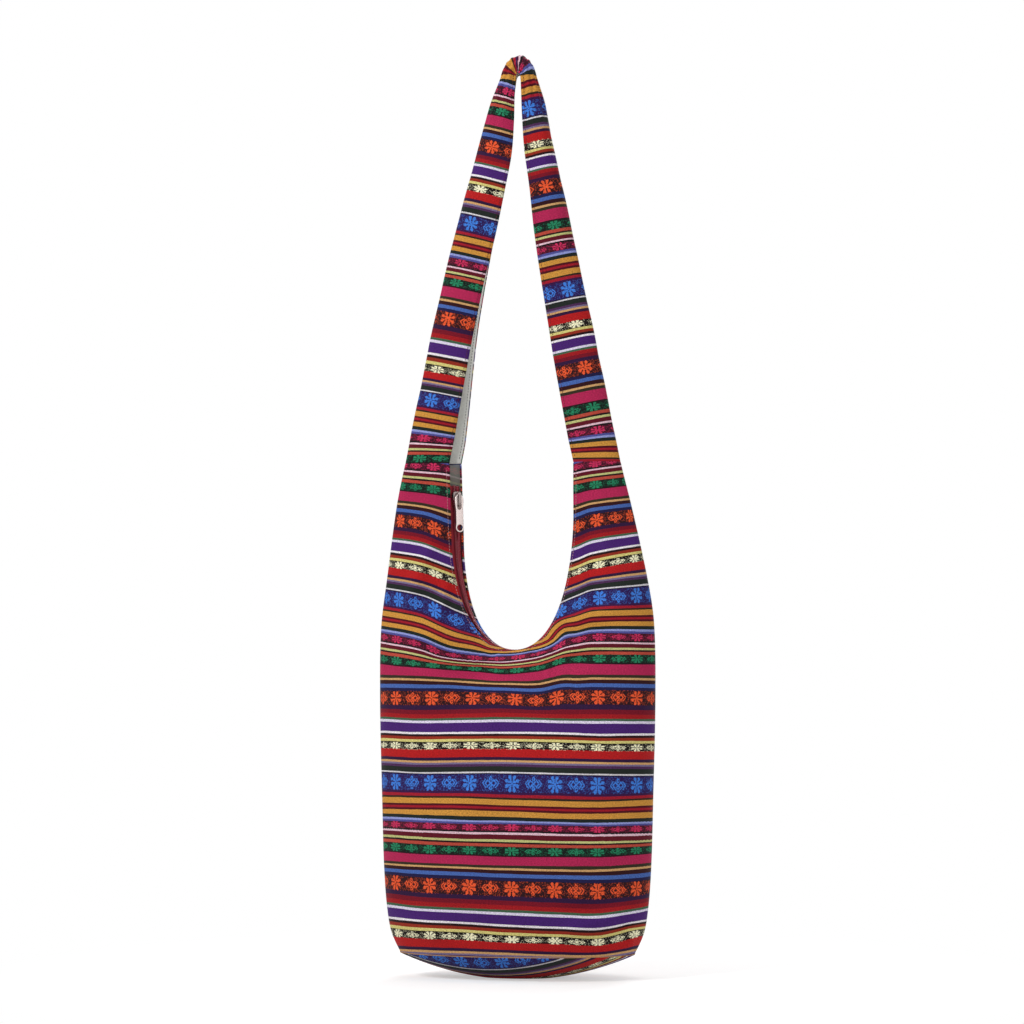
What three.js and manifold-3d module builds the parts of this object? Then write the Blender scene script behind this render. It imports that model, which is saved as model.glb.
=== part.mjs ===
// A soft sling bag of striped woven cloth. It hangs by its strap, and its stuffed base just touches
// the ground. Front and back are one piece of cloth each, cut as a body with two horns. They are
// joined by a zip round a deep U-shaped mouth, by a seam down each side and by an oval base. The
// strap is sewn to the tops of the horns and lies folded lengthwise, with a plain lining inside.
// Millimetres, +Z up, front towards -Y, origin under the middle of the base.

import * as THREE from "three";
import Module from "manifold-3d";
import { mergeVertices } from "three/addons/utils/BufferGeometryUtils.js";

const wasm = await Module();
wasm.setup();

// Driving dimensions
const bodyWidth = 302;
const bodyDepth = 134;
const baseSeamHeight = 27;
const mouthBottom = 353;
const hornTop = 557;
const mouthHalfWidth = 66;
const archHeight = 980;
const archRadius = 22;
const clothThickness = 1.6;
const strapLayer = 1.2;
const sewnGap = 0.35;
const sideSeamGap = 0.9;

// Body shape: [share of the way from the base seam to the horn top, change from the widest place]
const sideProfile = [
  [0, -19], [0.062, -10.5], [0.157, -5.5], [0.326, -2.5], [0.515, 0],
  [0.666, -1], [0.76, -7.5], [0.911, -21.5], [1, -32],
];
const depthProfile = [
  [0, -6], [0.14, 0], [0.42, -2], [0.61, -14], [0.76, -30], [0.91, -46], [1, -52],
];
const hornSway = -5;
const hornSwayStart = 0.7;
const foldRadius = 3.7;
const fillLength = 62;
const hornFade = 60;
const baseFlatShare = 0.3;
const baseRimShare = 0.985;

// Mouth and zip
const leftStraight = 87;
const rightStraight = 62;
const leftLean = -2.6;
const mouthCentre = -2;
const mouthRightInset = 1.2;
const mouthCurve = { leftReach: -45, rightReach: 42, leftEase: 2, rightEase: -1.8 };
const zipEndBelowHorn = 24;
const zipTurn = [[0, 42], [0.2, 42], [0.45, 8], [0.55, 0], [0.8, 8], [1, 8]];
const coilInner = 0.75;
const coilOuter = 3.5;
const coilHalfHeight = 1.2;
const tapeThickness = 0.8;
const tapeLap = 5;
const tapeBend = 2.5;
const hemGap = 2.5;
const zipHalfGap = coilOuter + tapeBend + hemGap;

// Slider and pull, in the zip's own frame: X across the zip, -Y outwards, Z up the track
const sliderLength = 19;
const sliderWall = 1.6;
const sliderTailWall = 0.45;
const sliderPlate = 1.6;
const sliderLowerPlate = 1.28;
const sliderBelowZipEnd = 16;
const sliderClearance = 0.4;
const sliderCorner = 2;
const wedgeThickness = 0.8;
const wedgeLength = 6;
const bridgeWidth = 2.4;
const bridgeBar = 1.3;
const bridgeFoot = -6.5;
const bridgeHead = 8.5;
const pullHinge = 4.9;
const pullTwist = -9;
const pullThickness = 1.6;
const pullBar = 1.8;
const pullLength = 40;
const pullEndRadius = 5;
const pullHole = 3.4;
const pullLoopHalfWidth = 5.4;
const pullWaistHalfWidth = 4.3;
const windowHalfWidth = 2.6;
const windowLength = 14.2;
const pullShoulder = -6;
const pullWaist = -17;
const pullEndNeck = 4;

// Strap
const strapHalfDepthAtTop = 14;
const strapHalfEdgeAtTop = 11.2;
const strapFoldedWidth = 48;
const strapFlapAtTop = 18;
const strapFlareEnd = 0.5;
const strapBowLeft = 6.8;
const strapBowRight = 1;
const archCentre = 1.5;
const strapFlapShare = [[0, 1], [0.32, 0.93], [0.58, 0.84], [0.8, 0.61], [0.91, 0.32], [1, 0]];
const strapSquareUp = 0.12;

// Steps along and across the cloth
const mouthSteps = 40;
const hornSteps = 3;
const panelRows = 8;
const strandSteps = 12;
const archSteps = 10;
const strapRows = 5;
const baseSides = 40;

const smooth = (share) => THREE.MathUtils.smoothstep(share, 0, 1);

// A smooth value through [place, value] pairs, level beyond the first and last.
function through(pairs, place) {
  const last = pairs.length - 1;
  if (place <= pairs[0][0]) return pairs[0][1];
  if (place >= pairs[last][0]) return pairs[last][1];
  const i = pairs.findIndex((pair) => pair[0] > place) - 1;
  const slope = (k) => {
    const before = pairs[Math.max(k - 1, 0)];
    const after = pairs[Math.min(k + 1, last)];
    return (after[1] - before[1]) / (after[0] - before[0]);
  };
  const span = pairs[i + 1][0] - pairs[i][0];
  const u = (place - pairs[i][0]) / span;
  const v = 1 - u;
  return pairs[i][1] * (1 + 2 * u) * v * v + slope(i) * span * u * v * v
    + pairs[i + 1][1] * u * u * (3 - 2 * u) - slope(i + 1) * span * u * u * v;
}

// The body's outline
const rise = (z) => (z - baseSeamHeight) / (hornTop - baseSeamHeight);
const halfWidthAt = (z) => (bodyWidth - clothThickness) / 2 + through(sideProfile, rise(z));
const halfDepthAt = (z) => (bodyDepth - clothThickness) / 2 + through(depthProfile, rise(z));
const swayAt = (z) => hornSway * smooth((rise(z) - hornSwayStart) / (1 - hornSwayStart));

// The mouth's middle line, from the left horn down, round and up to the right horn
const flat = (x, z) => new THREE.Vector3(x, 0, z);
const leftBend = flat(-mouthHalfWidth, hornTop - leftStraight);
const rightBend = flat(mouthHalfWidth - mouthRightInset, hornTop - rightStraight);
const halfway = (z) => (mouthBottom + z) / 2;
const mouthLow = flat(mouthCentre, mouthBottom);
const mouth = new THREE.CurvePath();
mouth.add(new THREE.LineCurve3(flat(leftBend.x + leftLean, hornTop), leftBend));
mouth.add(new THREE.CubicBezierCurve3(
  leftBend,
  flat(leftBend.x + mouthCurve.leftEase, halfway(leftBend.z)),
  flat(mouthCurve.leftReach, mouthBottom),
  mouthLow,
));
mouth.add(new THREE.CubicBezierCurve3(
  mouthLow,
  flat(mouthCurve.rightReach, mouthBottom),
  flat(rightBend.x + mouthCurve.rightEase, halfway(rightBend.z)),
  rightBend,
));
mouth.add(new THREE.LineCurve3(rightBend, flat(rightBend.x, hornTop)));
const mouthLengths = mouth.getCurveLengths();
const mouthLength = mouth.getLength();
const lowShare = mouthLengths[1] / mouthLength;

// The zip's frame at a share of the mouth line: middle, along the track, across it and outwards
function zipFrame(share) {
  const middle = mouth.getPoint(share);
  const along = mouth.getTangent(share);
  const turn = THREE.MathUtils.degToRad(through(zipTurn, share));
  const across = new THREE.Vector3(Math.sin(turn), Math.cos(turn), 0);
  across.addScaledVector(along, -across.dot(along)).normalize();
  const out = new THREE.Vector3().crossVectors(along, across);
  return { middle, along, across, out };
}

// Places round the outer edge of a panel: down a side seam, then along half the base seam
const sideRun = hornTop - baseSeamHeight;
const baseRun = Math.PI / 4 * (halfWidthAt(baseSeamHeight) + halfDepthAt(baseSeamHeight));
const sideShare = sideRun / (sideRun + baseRun);
const startPace = mouthLength / 2 / (sideRun + baseRun);

function outerEdge(share) {
  const side = share < lowShare ? -1 : 1;
  const half = side < 0 ? share / lowShare : (1 - share) / (1 - lowShare);
  const run = startPace * half + (1 - startPace) * half * half;
  if (run <= sideShare) {
    const z = hornTop - sideRun * run / sideShare;
    return flat(side * halfWidthAt(z) + swayAt(z), z);
  }
  const angle = Math.PI / 2 * (run - sideShare) / (1 - sideShare);
  return flat(side * halfWidthAt(baseSeamHeight) * Math.cos(angle), baseSeamHeight);
}

// Half the depth of the folded horns and strap at their middle, so that the fold keeps its radius
const hornHalfDepth = Math.sqrt(foldRadius * Math.abs(outerEdge(0).x - mouth.getPoint(0).x) / 1.5);

// Half the depth of a horn or of the folded strap, from its inner edge (0) to its fold (1)
const foldDepth = (edge, middle, t) => middle * Math.sqrt(1 - t ** 3) - (middle - edge) * (1 - t) ** 2;

// A point of a panel's middle surface. face is -1 on the front and 1 on the back.
function panelPoint(face, share, t) {
  const frame = zipFrame(share);
  const inner = frame.middle.addScaledVector(frame.across, face * zipHalfGap);
  const outer = outerEdge(share);
  const x = THREE.MathUtils.lerp(inner.x, outer.x, t);
  const z = THREE.MathUtils.lerp(inner.z, outer.z, t);
  const fromMouth = t * Math.hypot(outer.x - inner.x, outer.z - inner.z);
  const filled = (1 - Math.exp(-fromMouth / fillLength)) * smooth((hornTop - z) / hornFade);
  const wide = Math.min(1, Math.abs(x - swayAt(z)) / halfWidthAt(z));
  const body = halfDepthAt(z) * Math.sqrt(1 - wide * wide);
  const horn = foldDepth(Math.abs(inner.y), hornHalfDepth, t);
  return new THREE.Vector3(x, face * (sideSeamGap / 2 + horn * (1 - filled) + body * filled), z);
}

// Rows are closer together near the outer seam, where the cloth turns round the side.
const easeOut = (share) => share * (2 - share);
const steps = (from, to, count) => Array.from(
  { length: count + 1 }, (_, i) => from + (to - from) * i / count);
const cornerHalf = (Math.sqrt(startPace ** 2 + 4 * (1 - startPace) * sideShare) - startPace)
  / (2 * (1 - startPace));
const leftCorner = cornerHalf * lowShare;
const rightCorner = 1 - cornerHalf * (1 - lowShare);
const zipStart = zipEndBelowHorn / mouthLength;
const zipStop = 1 - zipStart;
const byPlace = (a, b) => a - b;
const zipStations = [...steps(zipStart, zipStop, mouthSteps), leftCorner, rightCorner].sort(byPlace);
const panelStations = [
  ...steps(0, zipStart, hornSteps).slice(0, -1), ...zipStations, ...steps(zipStop, 1, hornSteps).slice(1),
];

// The first row is a hem beside the mouth, as wide as the tape's lap under it and a little more.
function panelRowShares(share) {
  const edge = panelPoint(-1, share, 0);
  const hem = (tapeLap + clothThickness) / edge.distanceTo(outerEdge(share));
  return [0, hem, ...steps(0, 1, panelRows - 1).slice(1).map(easeOut)];
}

const panelGrid = (face) => panelStations.map(
  (share) => panelRowShares(share).map((t) => panelPoint(face, share, t)));

// The direction square to a grid of points at one of them
function gridNormal(grid, i, j) {
  const rows = grid.length - 1;
  const columns = grid[0].length - 1;
  const along = grid[Math.min(i + 1, rows)][j].clone().sub(grid[Math.max(i - 1, 0)][j]);
  const across = grid[i][Math.min(j + 1, columns)].clone().sub(grid[i][Math.max(j - 1, 0)]);
  return along.cross(across).normalize();
}

// A closed sheet between two offsets from a grid of points
function sheet(grid, lower, upper) {
  const rows = grid.length;
  const columns = grid[0].length;
  const layer = rows * columns;
  const places = [];
  for (const offset of [upper, lower]) {
    grid.forEach((line, i) => line.forEach((point, j) => {
      places.push(...point.clone().addScaledVector(gridNormal(grid, i, j), offset).toArray());
    }));
  }
  const faces = [];
  const quad = (a, b, c, d) => faces.push(a, b, c, a, c, d);
  const at = (i, j) => i * columns + j;
  for (let i = 0; i < rows - 1; i++) {
    for (let j = 0; j < columns - 1; j++) {
      quad(at(i, j), at(i + 1, j), at(i + 1, j + 1), at(i, j + 1));
      quad(layer + at(i, j), layer + at(i, j + 1), layer + at(i + 1, j + 1), layer + at(i + 1, j));
    }
  }
  const rim = [];
  for (let i = 0; i < rows - 1; i++) rim.push(at(i, 0));
  for (let j = 0; j < columns - 1; j++) rim.push(at(rows - 1, j));
  for (let i = rows - 1; i > 0; i--) rim.push(at(i, columns - 1));
  for (let j = columns - 1; j > 0; j--) rim.push(at(0, j));
  rim.forEach((a, k) => {
    const b = rim[(k + 1) % rim.length];
    quad(a, layer + a, layer + b, b);
  });
  const geometry = new THREE.BufferGeometry();
  geometry.setAttribute("position", new THREE.Float32BufferAttribute(places, 3));
  geometry.setIndex(faces);
  return geometry;
}

// The oval base: a shallow cushion shape with a flat spot where it touches the ground
function baseSheet() {
  const rimRise = baseSeamHeight - clothThickness / 2 - 2 * sewnGap;
  const flatPart = baseFlatShare ** 2;
  const under = (share) => rimRise * Math.max(0, share ** 2 - flatPart) / (1 - flatPart);
  const shares = [baseFlatShare, ...steps(baseFlatShare, 1, 5).slice(1)];
  const outer = [0, ...shares].map((share) => new THREE.Vector2(share, under(share)));
  const inner = [...shares].reverse().map((share) => {
    const lift = share === 1 ? clothThickness / 2 : clothThickness;
    return new THREE.Vector2(share === 1 ? baseRimShare : share, under(share) + lift);
  });
  const profile = [...outer, ...inner, new THREE.Vector2(0, clothThickness)];
  return new THREE.LatheGeometry(profile, baseSides)
    .rotateX(Math.PI / 2)
    .scale(halfWidthAt(baseSeamHeight), halfDepthAt(baseSeamHeight), 1);
}

// Zip tapes and coils, which follow the same places of the mouth line as the panels' edges
const tapeUnder = coilHalfHeight + sewnGap;
const tapeDepth = tapeUnder + tapeThickness / 2;

function tapeGrid(face) {
  return zipStations.map((share) => {
    const { middle, along, across, out } = zipFrame(share);
    const at = (reach) => middle.clone()
      .addScaledVector(across, face * reach)
      .addScaledVector(out, -tapeDepth);
    const edge = panelPoint(face, share, 0);
    const fall = panelPoint(face, share, panelRowShares(share)[1]).sub(edge).normalize();
    const outwards = new THREE.Vector3().crossVectors(along, fall).multiplyScalar(face).normalize();
    const lap = edge.clone().addScaledVector(fall, tapeLap);
    lap.addScaledVector(outwards, -(clothThickness + tapeThickness) / 2 - sewnGap);
    return [at(coilInner + sewnGap), at(coilOuter), at(coilOuter + tapeBend), lap];
  });
}

function coilGrid(face) {
  return zipStations.map((share) => {
    const { middle, across } = zipFrame(share);
    return [coilInner, coilOuter].map((reach) => middle.clone().addScaledVector(across, face * reach));
  });
}

// The folded strap, from the left horn over the top to the right horn
const leftSeam = outerEdge(0);
const rightSeam = outerEdge(1);
const strapFoot = hornTop + 2 * sewnGap;

function strandPoint(side, share) {
  const seam = side < 0 ? leftSeam : rightSeam;
  const bow = side < 0 ? -strapBowLeft : strapBowRight;
  const x = THREE.MathUtils.lerp(seam.x, archCentre + side * archRadius, share);
  const z = THREE.MathUtils.lerp(strapFoot, archHeight, share);
  return flat(x + bow * Math.sin(Math.PI * share), z);
}

// One cross-section of the strap: where its fold is, which way its flaps go and how far
function strandSection(side, share) {
  const near = 0.01;
  const fold = strandPoint(side, share);
  const up = strandPoint(side, share + near).sub(strandPoint(side, share - near)).normalize();
  const square = flat(-side * up.z, side * up.x);
  const inwards = flat(-side, 0).lerp(square, smooth(share / strapSquareUp)).normalize();
  const end = side < 0 ? 0 : 1;
  const seam = side < 0 ? leftSeam : rightSeam;
  const flap = (face) => {
    const atSeam = Math.abs(panelPoint(face, end, 0).x - seam.x);
    return strapFlapAtTop + (strapFoldedWidth - strapFlapAtTop) * through(strapFlapShare, share)
      + (atSeam - strapFoldedWidth) * (1 - smooth(share / strapFlareEnd));
  };
  const edge = Math.abs(panelPoint(1, end, 0).y);
  return {
    fold, inwards, flaps: [flap(-1), flap(1)],
    edge: THREE.MathUtils.lerp(edge, strapHalfEdgeAtTop, share),
    middle: THREE.MathUtils.lerp(hornHalfDepth, strapHalfDepthAtTop, share),
  };
}

function archSection(share) {
  const angle = Math.PI * share;
  const inwards = flat(Math.cos(angle), -Math.sin(angle));
  return {
    fold: flat(archCentre, archHeight).addScaledVector(inwards, -archRadius),
    inwards, flaps: [strapFlapAtTop, strapFlapAtTop],
    edge: strapHalfEdgeAtTop, middle: strapHalfDepthAtTop,
  };
}

function sectionPoints({ fold, inwards, flaps, edge, middle }) {
  const place = (face, r) => {
    const t = easeOut(r);
    const point = fold.clone().addScaledVector(inwards, flaps[face < 0 ? 0 : 1] * (1 - t));
    point.y = face * foldDepth(edge, middle, t);
    return point;
  };
  const front = steps(0, 1, strapRows).map((r) => place(-1, r));
  const back = steps(1, 0, strapRows).slice(1).map((r) => place(1, r));
  return [...front, ...back];
}

function strapGrid() {
  const sections = [
    ...steps(0, 1, strandSteps).slice(0, -1).map((share) => strandSection(-1, share)),
    ...steps(0, 1, archSteps).map(archSection),
    ...steps(1, 0, strandSteps).slice(1).map((share) => strandSection(1, share)),
  ];
  return sections.map(sectionPoints);
}

// Joining and cutting
function solid(geometry) {
  geometry.deleteAttribute("normal");
  geometry.deleteAttribute("uv");
  const merged = mergeVertices(geometry, 1e-4);
  return new wasm.Manifold(new wasm.Mesh({
    numProp: 3,
    vertProperties: new Float32Array(merged.attributes.position.array),
    triVerts: new Uint32Array(merged.index.array),
  }));
}

function fromSolid(body) {
  const mesh = body.getMesh();
  const geometry = new THREE.BufferGeometry();
  geometry.setAttribute("position", new THREE.BufferAttribute(mesh.vertProperties, 3));
  geometry.setIndex(new THREE.BufferAttribute(mesh.triVerts, 1));
  return geometry;
}

// A box between two X, two Y and two Z places
function block([x0, x1], [y0, y1], [z0, z1]) {
  const box = new THREE.BoxGeometry(x1 - x0, y1 - y0, z1 - z0);
  return solid(box.translate((x0 + x1) / 2, (y0 + y1) / 2, (z0 + z1) / 2));
}

// A flat plate from an outline drawn in X and Z, reaching from back to front along Y
function plate(outline, front, back) {
  const options = { depth: back - front, bevelEnabled: false, curveSegments: 8 };
  return new THREE.ExtrudeGeometry(outline, options).rotateX(Math.PI / 2).translate(0, back, 0);
}

// How far the slider's pieces go into each other where they are one casting
const partInto = 0.2;
const plateFront = -(coilHalfHeight + sliderClearance + sliderPlate);
const hingeOut = -plateFront + pullBar / 2 + sliderClearance * 3;

// The slider: a top plate with side walls, a lower plate, the wedge between them and the bridge
function sliderGeometry() {
  const half = sliderLength / 2;
  const chainRoom = coilOuter + sliderClearance;
  const top = chainRoom + sliderWall;
  const tail = chainRoom + sliderTailWall;
  const corner = sliderCorner;
  const outline = new THREE.Shape();
  outline.moveTo(-top + corner, half);
  outline.lineTo(top - corner, half);
  outline.quadraticCurveTo(top, half, top, half - corner);
  outline.lineTo(top, 1);
  outline.quadraticCurveTo(top, -1, tail, -half / 2);
  outline.lineTo(tail, -half + corner);
  outline.quadraticCurveTo(tail, -half, tail - corner, -half);
  outline.lineTo(-tail + corner, -half);
  outline.quadraticCurveTo(-tail, -half, -tail, -half + corner);
  outline.lineTo(-tail, -half / 2);
  outline.quadraticCurveTo(-top, -1, -top, 1);
  outline.lineTo(-top, half - corner);
  outline.quadraticCurveTo(-top, half, -top + corner, half);
  const wallFoot = tapeUnder - sliderClearance;
  const chainPath = block(
    [-chainRoom, chainRoom],
    [-coilHalfHeight - sliderClearance, wallFoot + 1],
    [-half - 1, half + 1],
  );
  const shell = solid(plate(outline, plateFront, wallFoot)).subtract(chainPath);
  const lowerFront = tapeUnder + tapeThickness + sliderClearance;
  const lowerBack = lowerFront + sliderLowerPlate;
  const lower = block([-chainRoom, chainRoom], [lowerFront, lowerBack], [-half + 1, half]);
  const wedge = block(
    [-wedgeThickness / 2, wedgeThickness / 2],
    [plateFront + partInto, lowerBack - partInto],
    [half - wedgeLength, half - partInto],
  );
  const bridgeRoom = hingeOut + pullBar / 2 + sliderClearance * 1.5;
  const bridgeBlock = block(
    [-bridgeWidth / 2, bridgeWidth / 2],
    [-bridgeRoom - bridgeBar, plateFront + partInto],
    [bridgeFoot, bridgeHead],
  );
  const bridgeOpening = block(
    [-bridgeWidth, bridgeWidth],
    [-bridgeRoom, plateFront + 1],
    [bridgeFoot + bridgeBar, bridgeHead - bridgeBar],
  );
  return fromSolid(shell.add(lower).add(wedge).add(bridgeBlock.subtract(bridgeOpening)));
}

// The pull, drawn from its hinge: a loop round the bridge, a plain plate and a round hole
function pullGeometry() {
  const outline = new THREE.Shape();
  const endCentre = pullEndRadius - pullLength;
  const top = pullBar / 2;
  const loop = pullLoopHalfWidth;
  const waist = pullWaistHalfWidth;
  const end = pullEndRadius;
  const neck = endCentre + pullEndNeck;
  const shoulderMiddle = (pullWaist + pullShoulder) / 2;
  const neckEase = pullEndNeck / 2;
  outline.moveTo(0, top);
  outline.bezierCurveTo(loop, top, loop, pullShoulder / 2, loop, pullShoulder);
  outline.bezierCurveTo(loop, shoulderMiddle, waist, shoulderMiddle, waist, pullWaist);
  outline.lineTo(waist, neck);
  outline.bezierCurveTo(waist, neck - neckEase, end, endCentre + neckEase, end, endCentre);
  outline.absarc(0, endCentre, end, 0, -Math.PI, true);
  outline.bezierCurveTo(-end, endCentre + neckEase, -waist, neck - neckEase, -waist, neck);
  outline.lineTo(-waist, pullWaist);
  outline.bezierCurveTo(-waist, shoulderMiddle, -loop, shoulderMiddle, -loop, pullShoulder);
  outline.bezierCurveTo(-loop, pullShoulder / 2, -loop, top, 0, top);
  const window = new THREE.Path();
  const windowEnd = windowHalfWidth - windowLength - pullBar / 2;
  window.moveTo(windowHalfWidth, -pullBar / 2);
  window.lineTo(-windowHalfWidth, -pullBar / 2);
  window.lineTo(-windowHalfWidth, windowEnd);
  window.absarc(0, windowEnd, windowHalfWidth, Math.PI, 2 * Math.PI, false);
  const hole = new THREE.Path();
  hole.absarc(0, endCentre, pullHole, 0, 2 * Math.PI, false);
  outline.holes.push(window, hole);
  return plate(outline, -pullThickness / 2, pullThickness / 2);
}

// Colours by eye from the object
const finish = (color, roughness, metalness = 0) => (
  new THREE.MeshStandardMaterial({ color, roughness, metalness }));

function named(name, geometry, material) {
  const mesh = new THREE.Mesh(geometry, material);
  mesh.name = name;
  return mesh;
}

const zipHardware = new THREE.Group();
const sliderFrame = zipFrame((zipEndBelowHorn + sliderBelowZipEnd) / mouthLength);
zipHardware.position.copy(sliderFrame.middle);
zipHardware.quaternion.setFromRotationMatrix(new THREE.Matrix4().makeBasis(
  sliderFrame.across, sliderFrame.out.clone().negate(), sliderFrame.along.clone().negate()));
const pull = named("zip_pull", pullGeometry(), finish("#c8c8cc", 0.3, 1));
pull.position.set(0, -hingeOut, pullHinge);
pull.rotation.z = THREE.MathUtils.degToRad(pullTwist);
zipHardware.add(named("zip_slider", sliderGeometry(), finish("#bcbcc0", 0.3, 1)), pull);

const strap = strapGrid();
const halfLayer = strapLayer / 2;
const liningDepth = strapLayer + sewnGap;
const halfCloth = clothThickness / 2;
const halfTape = tapeThickness / 2;
const cloth = finish("#7a1c2c", 0.85);
const lining = finish("#a8a8a0", 0.9);
const tapeCloth = finish("#6a1422", 0.8);
const nylon = finish("#74182a", 0.5);
const bag = new THREE.Group();
bag.add(
  named("front_panel", sheet(panelGrid(-1), -halfCloth, halfCloth), cloth),
  named("back_panel", sheet(panelGrid(1), -halfCloth, halfCloth), cloth),
  named("base_panel", baseSheet(), finish("#6a2034", 0.85)),
  named("strap_face", sheet(strap, -halfLayer, halfLayer), cloth),
  named("strap_lining", sheet(strap, -liningDepth - halfLayer, -liningDepth + halfLayer), lining),
  named("zip_tape_front", sheet(tapeGrid(-1), -halfTape, halfTape), tapeCloth),
  named("zip_tape_back", sheet(tapeGrid(1), -halfTape, halfTape), tapeCloth),
  named("zip_coil_front", sheet(coilGrid(-1), -coilHalfHeight, coilHalfHeight), nylon),
  named("zip_coil_back", sheet(coilGrid(1), -coilHalfHeight, coilHalfHeight), nylon),
  zipHardware,
);

export default bag;
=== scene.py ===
"""A woven sling bag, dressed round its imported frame: jacquard cloth, lined strap, zip and stitching.

Lengths inside the functions are millimetres, in the frame's own axes: front towards -Y, +Z up, origin
under the middle of the base. Each finished mesh is scaled to metres.
"""

import bisect
import math

import bmesh
import bpy
from mathutils import Matrix, Vector, noise


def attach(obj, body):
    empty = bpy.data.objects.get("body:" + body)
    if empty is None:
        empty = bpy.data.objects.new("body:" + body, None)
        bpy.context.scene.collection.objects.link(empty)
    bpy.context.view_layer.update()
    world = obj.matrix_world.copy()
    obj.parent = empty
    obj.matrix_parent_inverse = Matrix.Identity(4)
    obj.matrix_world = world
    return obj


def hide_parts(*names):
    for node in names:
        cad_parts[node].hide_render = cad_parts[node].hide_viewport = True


bl_info = {
    "name": "Woven sling bag",
    "version": (1, 0, 0),
    "blender": (4, 5, 0),
    "location": "View3D > Sidebar > Sling bag",
    "description": "Builds the cloth, zip and stitching of a striped sling bag on its frame",
    "category": "Object",
}

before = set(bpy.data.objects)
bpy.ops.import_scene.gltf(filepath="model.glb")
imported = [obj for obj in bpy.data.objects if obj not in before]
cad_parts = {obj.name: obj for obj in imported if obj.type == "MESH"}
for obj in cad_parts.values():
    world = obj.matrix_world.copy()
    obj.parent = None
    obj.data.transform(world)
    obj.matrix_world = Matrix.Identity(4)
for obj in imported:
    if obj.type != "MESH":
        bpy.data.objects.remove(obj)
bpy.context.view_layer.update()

MM = 0.001
# Heights on the cloth are given as rows, counted down from the top of the view, each PIXEL millimetres
# high. The cloth's repeat starts at CROWN_ROW.
CROWN_ROW = 720.0
PIXEL = 1.09
CAMERA_TURN = 8.0
CAMERA_DISTANCE = 3200.0
CAMERA_HEIGHT = 330.0


def linear(code):
    """An sRGB hex colour as linear red, green and blue."""
    parts = [int(code[i:i + 2], 16) / 255 for i in (1, 3, 5)]
    return tuple(p / 12.92 if p <= 0.04045 else ((p + 0.055) / 1.055) ** 2.4 for p in parts)


# The cloth's repeat from the top down: where each stripe starts, in millimetres, and its thread colour
STRIPES = (
    (0.0, "#D6CFE2"), (2.4, "#44206A"), (12.6, "#E4DEE2"), (14.8, "#200C12"), (17.4, "#8E2C1C"),
    (20.7, "#CFC478"), (23.8, "#160E0E"), (32.1, "#AE1A1C"), (41.0, "#2A1234"), (44.4, "#C79A66"),
    (46.6, "#74688A"), (48.6, "#4A2A50"), (51.4, "#1E2420"), (56.9, "#CFCBD0"), (58.5, "#1C1638"),
    (60.0, "#2A1850"), (77.2, "#341240"), (79.6, "#9C1A2C"), (82.8, "#2A2018"), (84.9, "#C68C3C"),
    (91.0, "#4A0C18"), (93.2, "#9A1626"), (95.6, "#4A0C18"), (97.9, "#C68C3C"), (103.3, "#18201E"),
    (107.0, "#8C94CC"), (109.2, "#4C4C8E"), (111.6, "#3E1022"), (119.9, "#160C10"), (121.6, "#DDB9C6"),
    (123.5, "#5A1020"), (127.5, "#BCBC7A"), (130.0, "#200E12"), (131.9, "#B24638"), (135.2, "#0E1814"),
    (144.4, "#1A1014"), (146.1, "#AC2450"), (158.1, "#2E281C"), (161.3, "#C79A66"), (163.5, "#2C0E14"),
    (167.9, "#4462A6"), (172.2, "#1C1840"), (175.5, "#2A1016"), (190.8, "#2E1438"), (195.1, "#741022"),
    (199.0, "#9A181E"), (203.3, "#3E5C44"),
)
STRIPE_REPEAT = 206.0
# A ramp holds 32 colours at most, so the repeat is cut in two here
RAMP_SPLIT = 84.9
# The five rows of flowers: from, to, and the colour of their thread
FLOWER_ROWS = (
    (24.0, 32.1, "#ECE8C4"), (60.0, 77.2, "#3E7AD4"), (111.6, 119.9, "#C42C58"),
    (135.2, 144.4, "#24805A"), (175.5, 190.8, "#E2552E"),
)


def smooth(share):
    """A soft step from 0 to 1."""
    share = min(max(share, 0.0), 1.0)
    return share * share * (3 - 2 * share)


def lerp(a, b, share):
    return a + (b - a) * share


def through(pairs, place):
    """A smooth value through (place, value) pairs, level beyond the first and last."""
    last = len(pairs) - 1
    if place <= pairs[0][0]:
        return pairs[0][1]
    if place >= pairs[last][0]:
        return pairs[last][1]
    i = next(k for k, pair in enumerate(pairs) if pair[0] > place) - 1

    def slope(k):
        before, after = pairs[max(k - 1, 0)], pairs[min(k + 1, last)]
        return (after[1] - before[1]) / (after[0] - before[0])

    span = pairs[i + 1][0] - pairs[i][0]
    u = (place - pairs[i][0]) / span
    v = 1 - u
    return (pairs[i][1] * (1 + 2 * u) * v * v + slope(i) * span * u * v * v
            + pairs[i + 1][1] * u * u * (3 - 2 * u) - slope(i + 1) * span * u * u * v)


def along_table(pairs, place):
    """A straight-line value through (place, value) pairs, carried on past both ends."""
    i = 0
    while i < len(pairs) - 2 and place > pairs[i + 1][0]:
        i += 1
    (a, at_a), (b, at_b) = pairs[i], pairs[i + 1]
    return at_a + (at_b - at_a) * (place - a) / (b - a)


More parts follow.
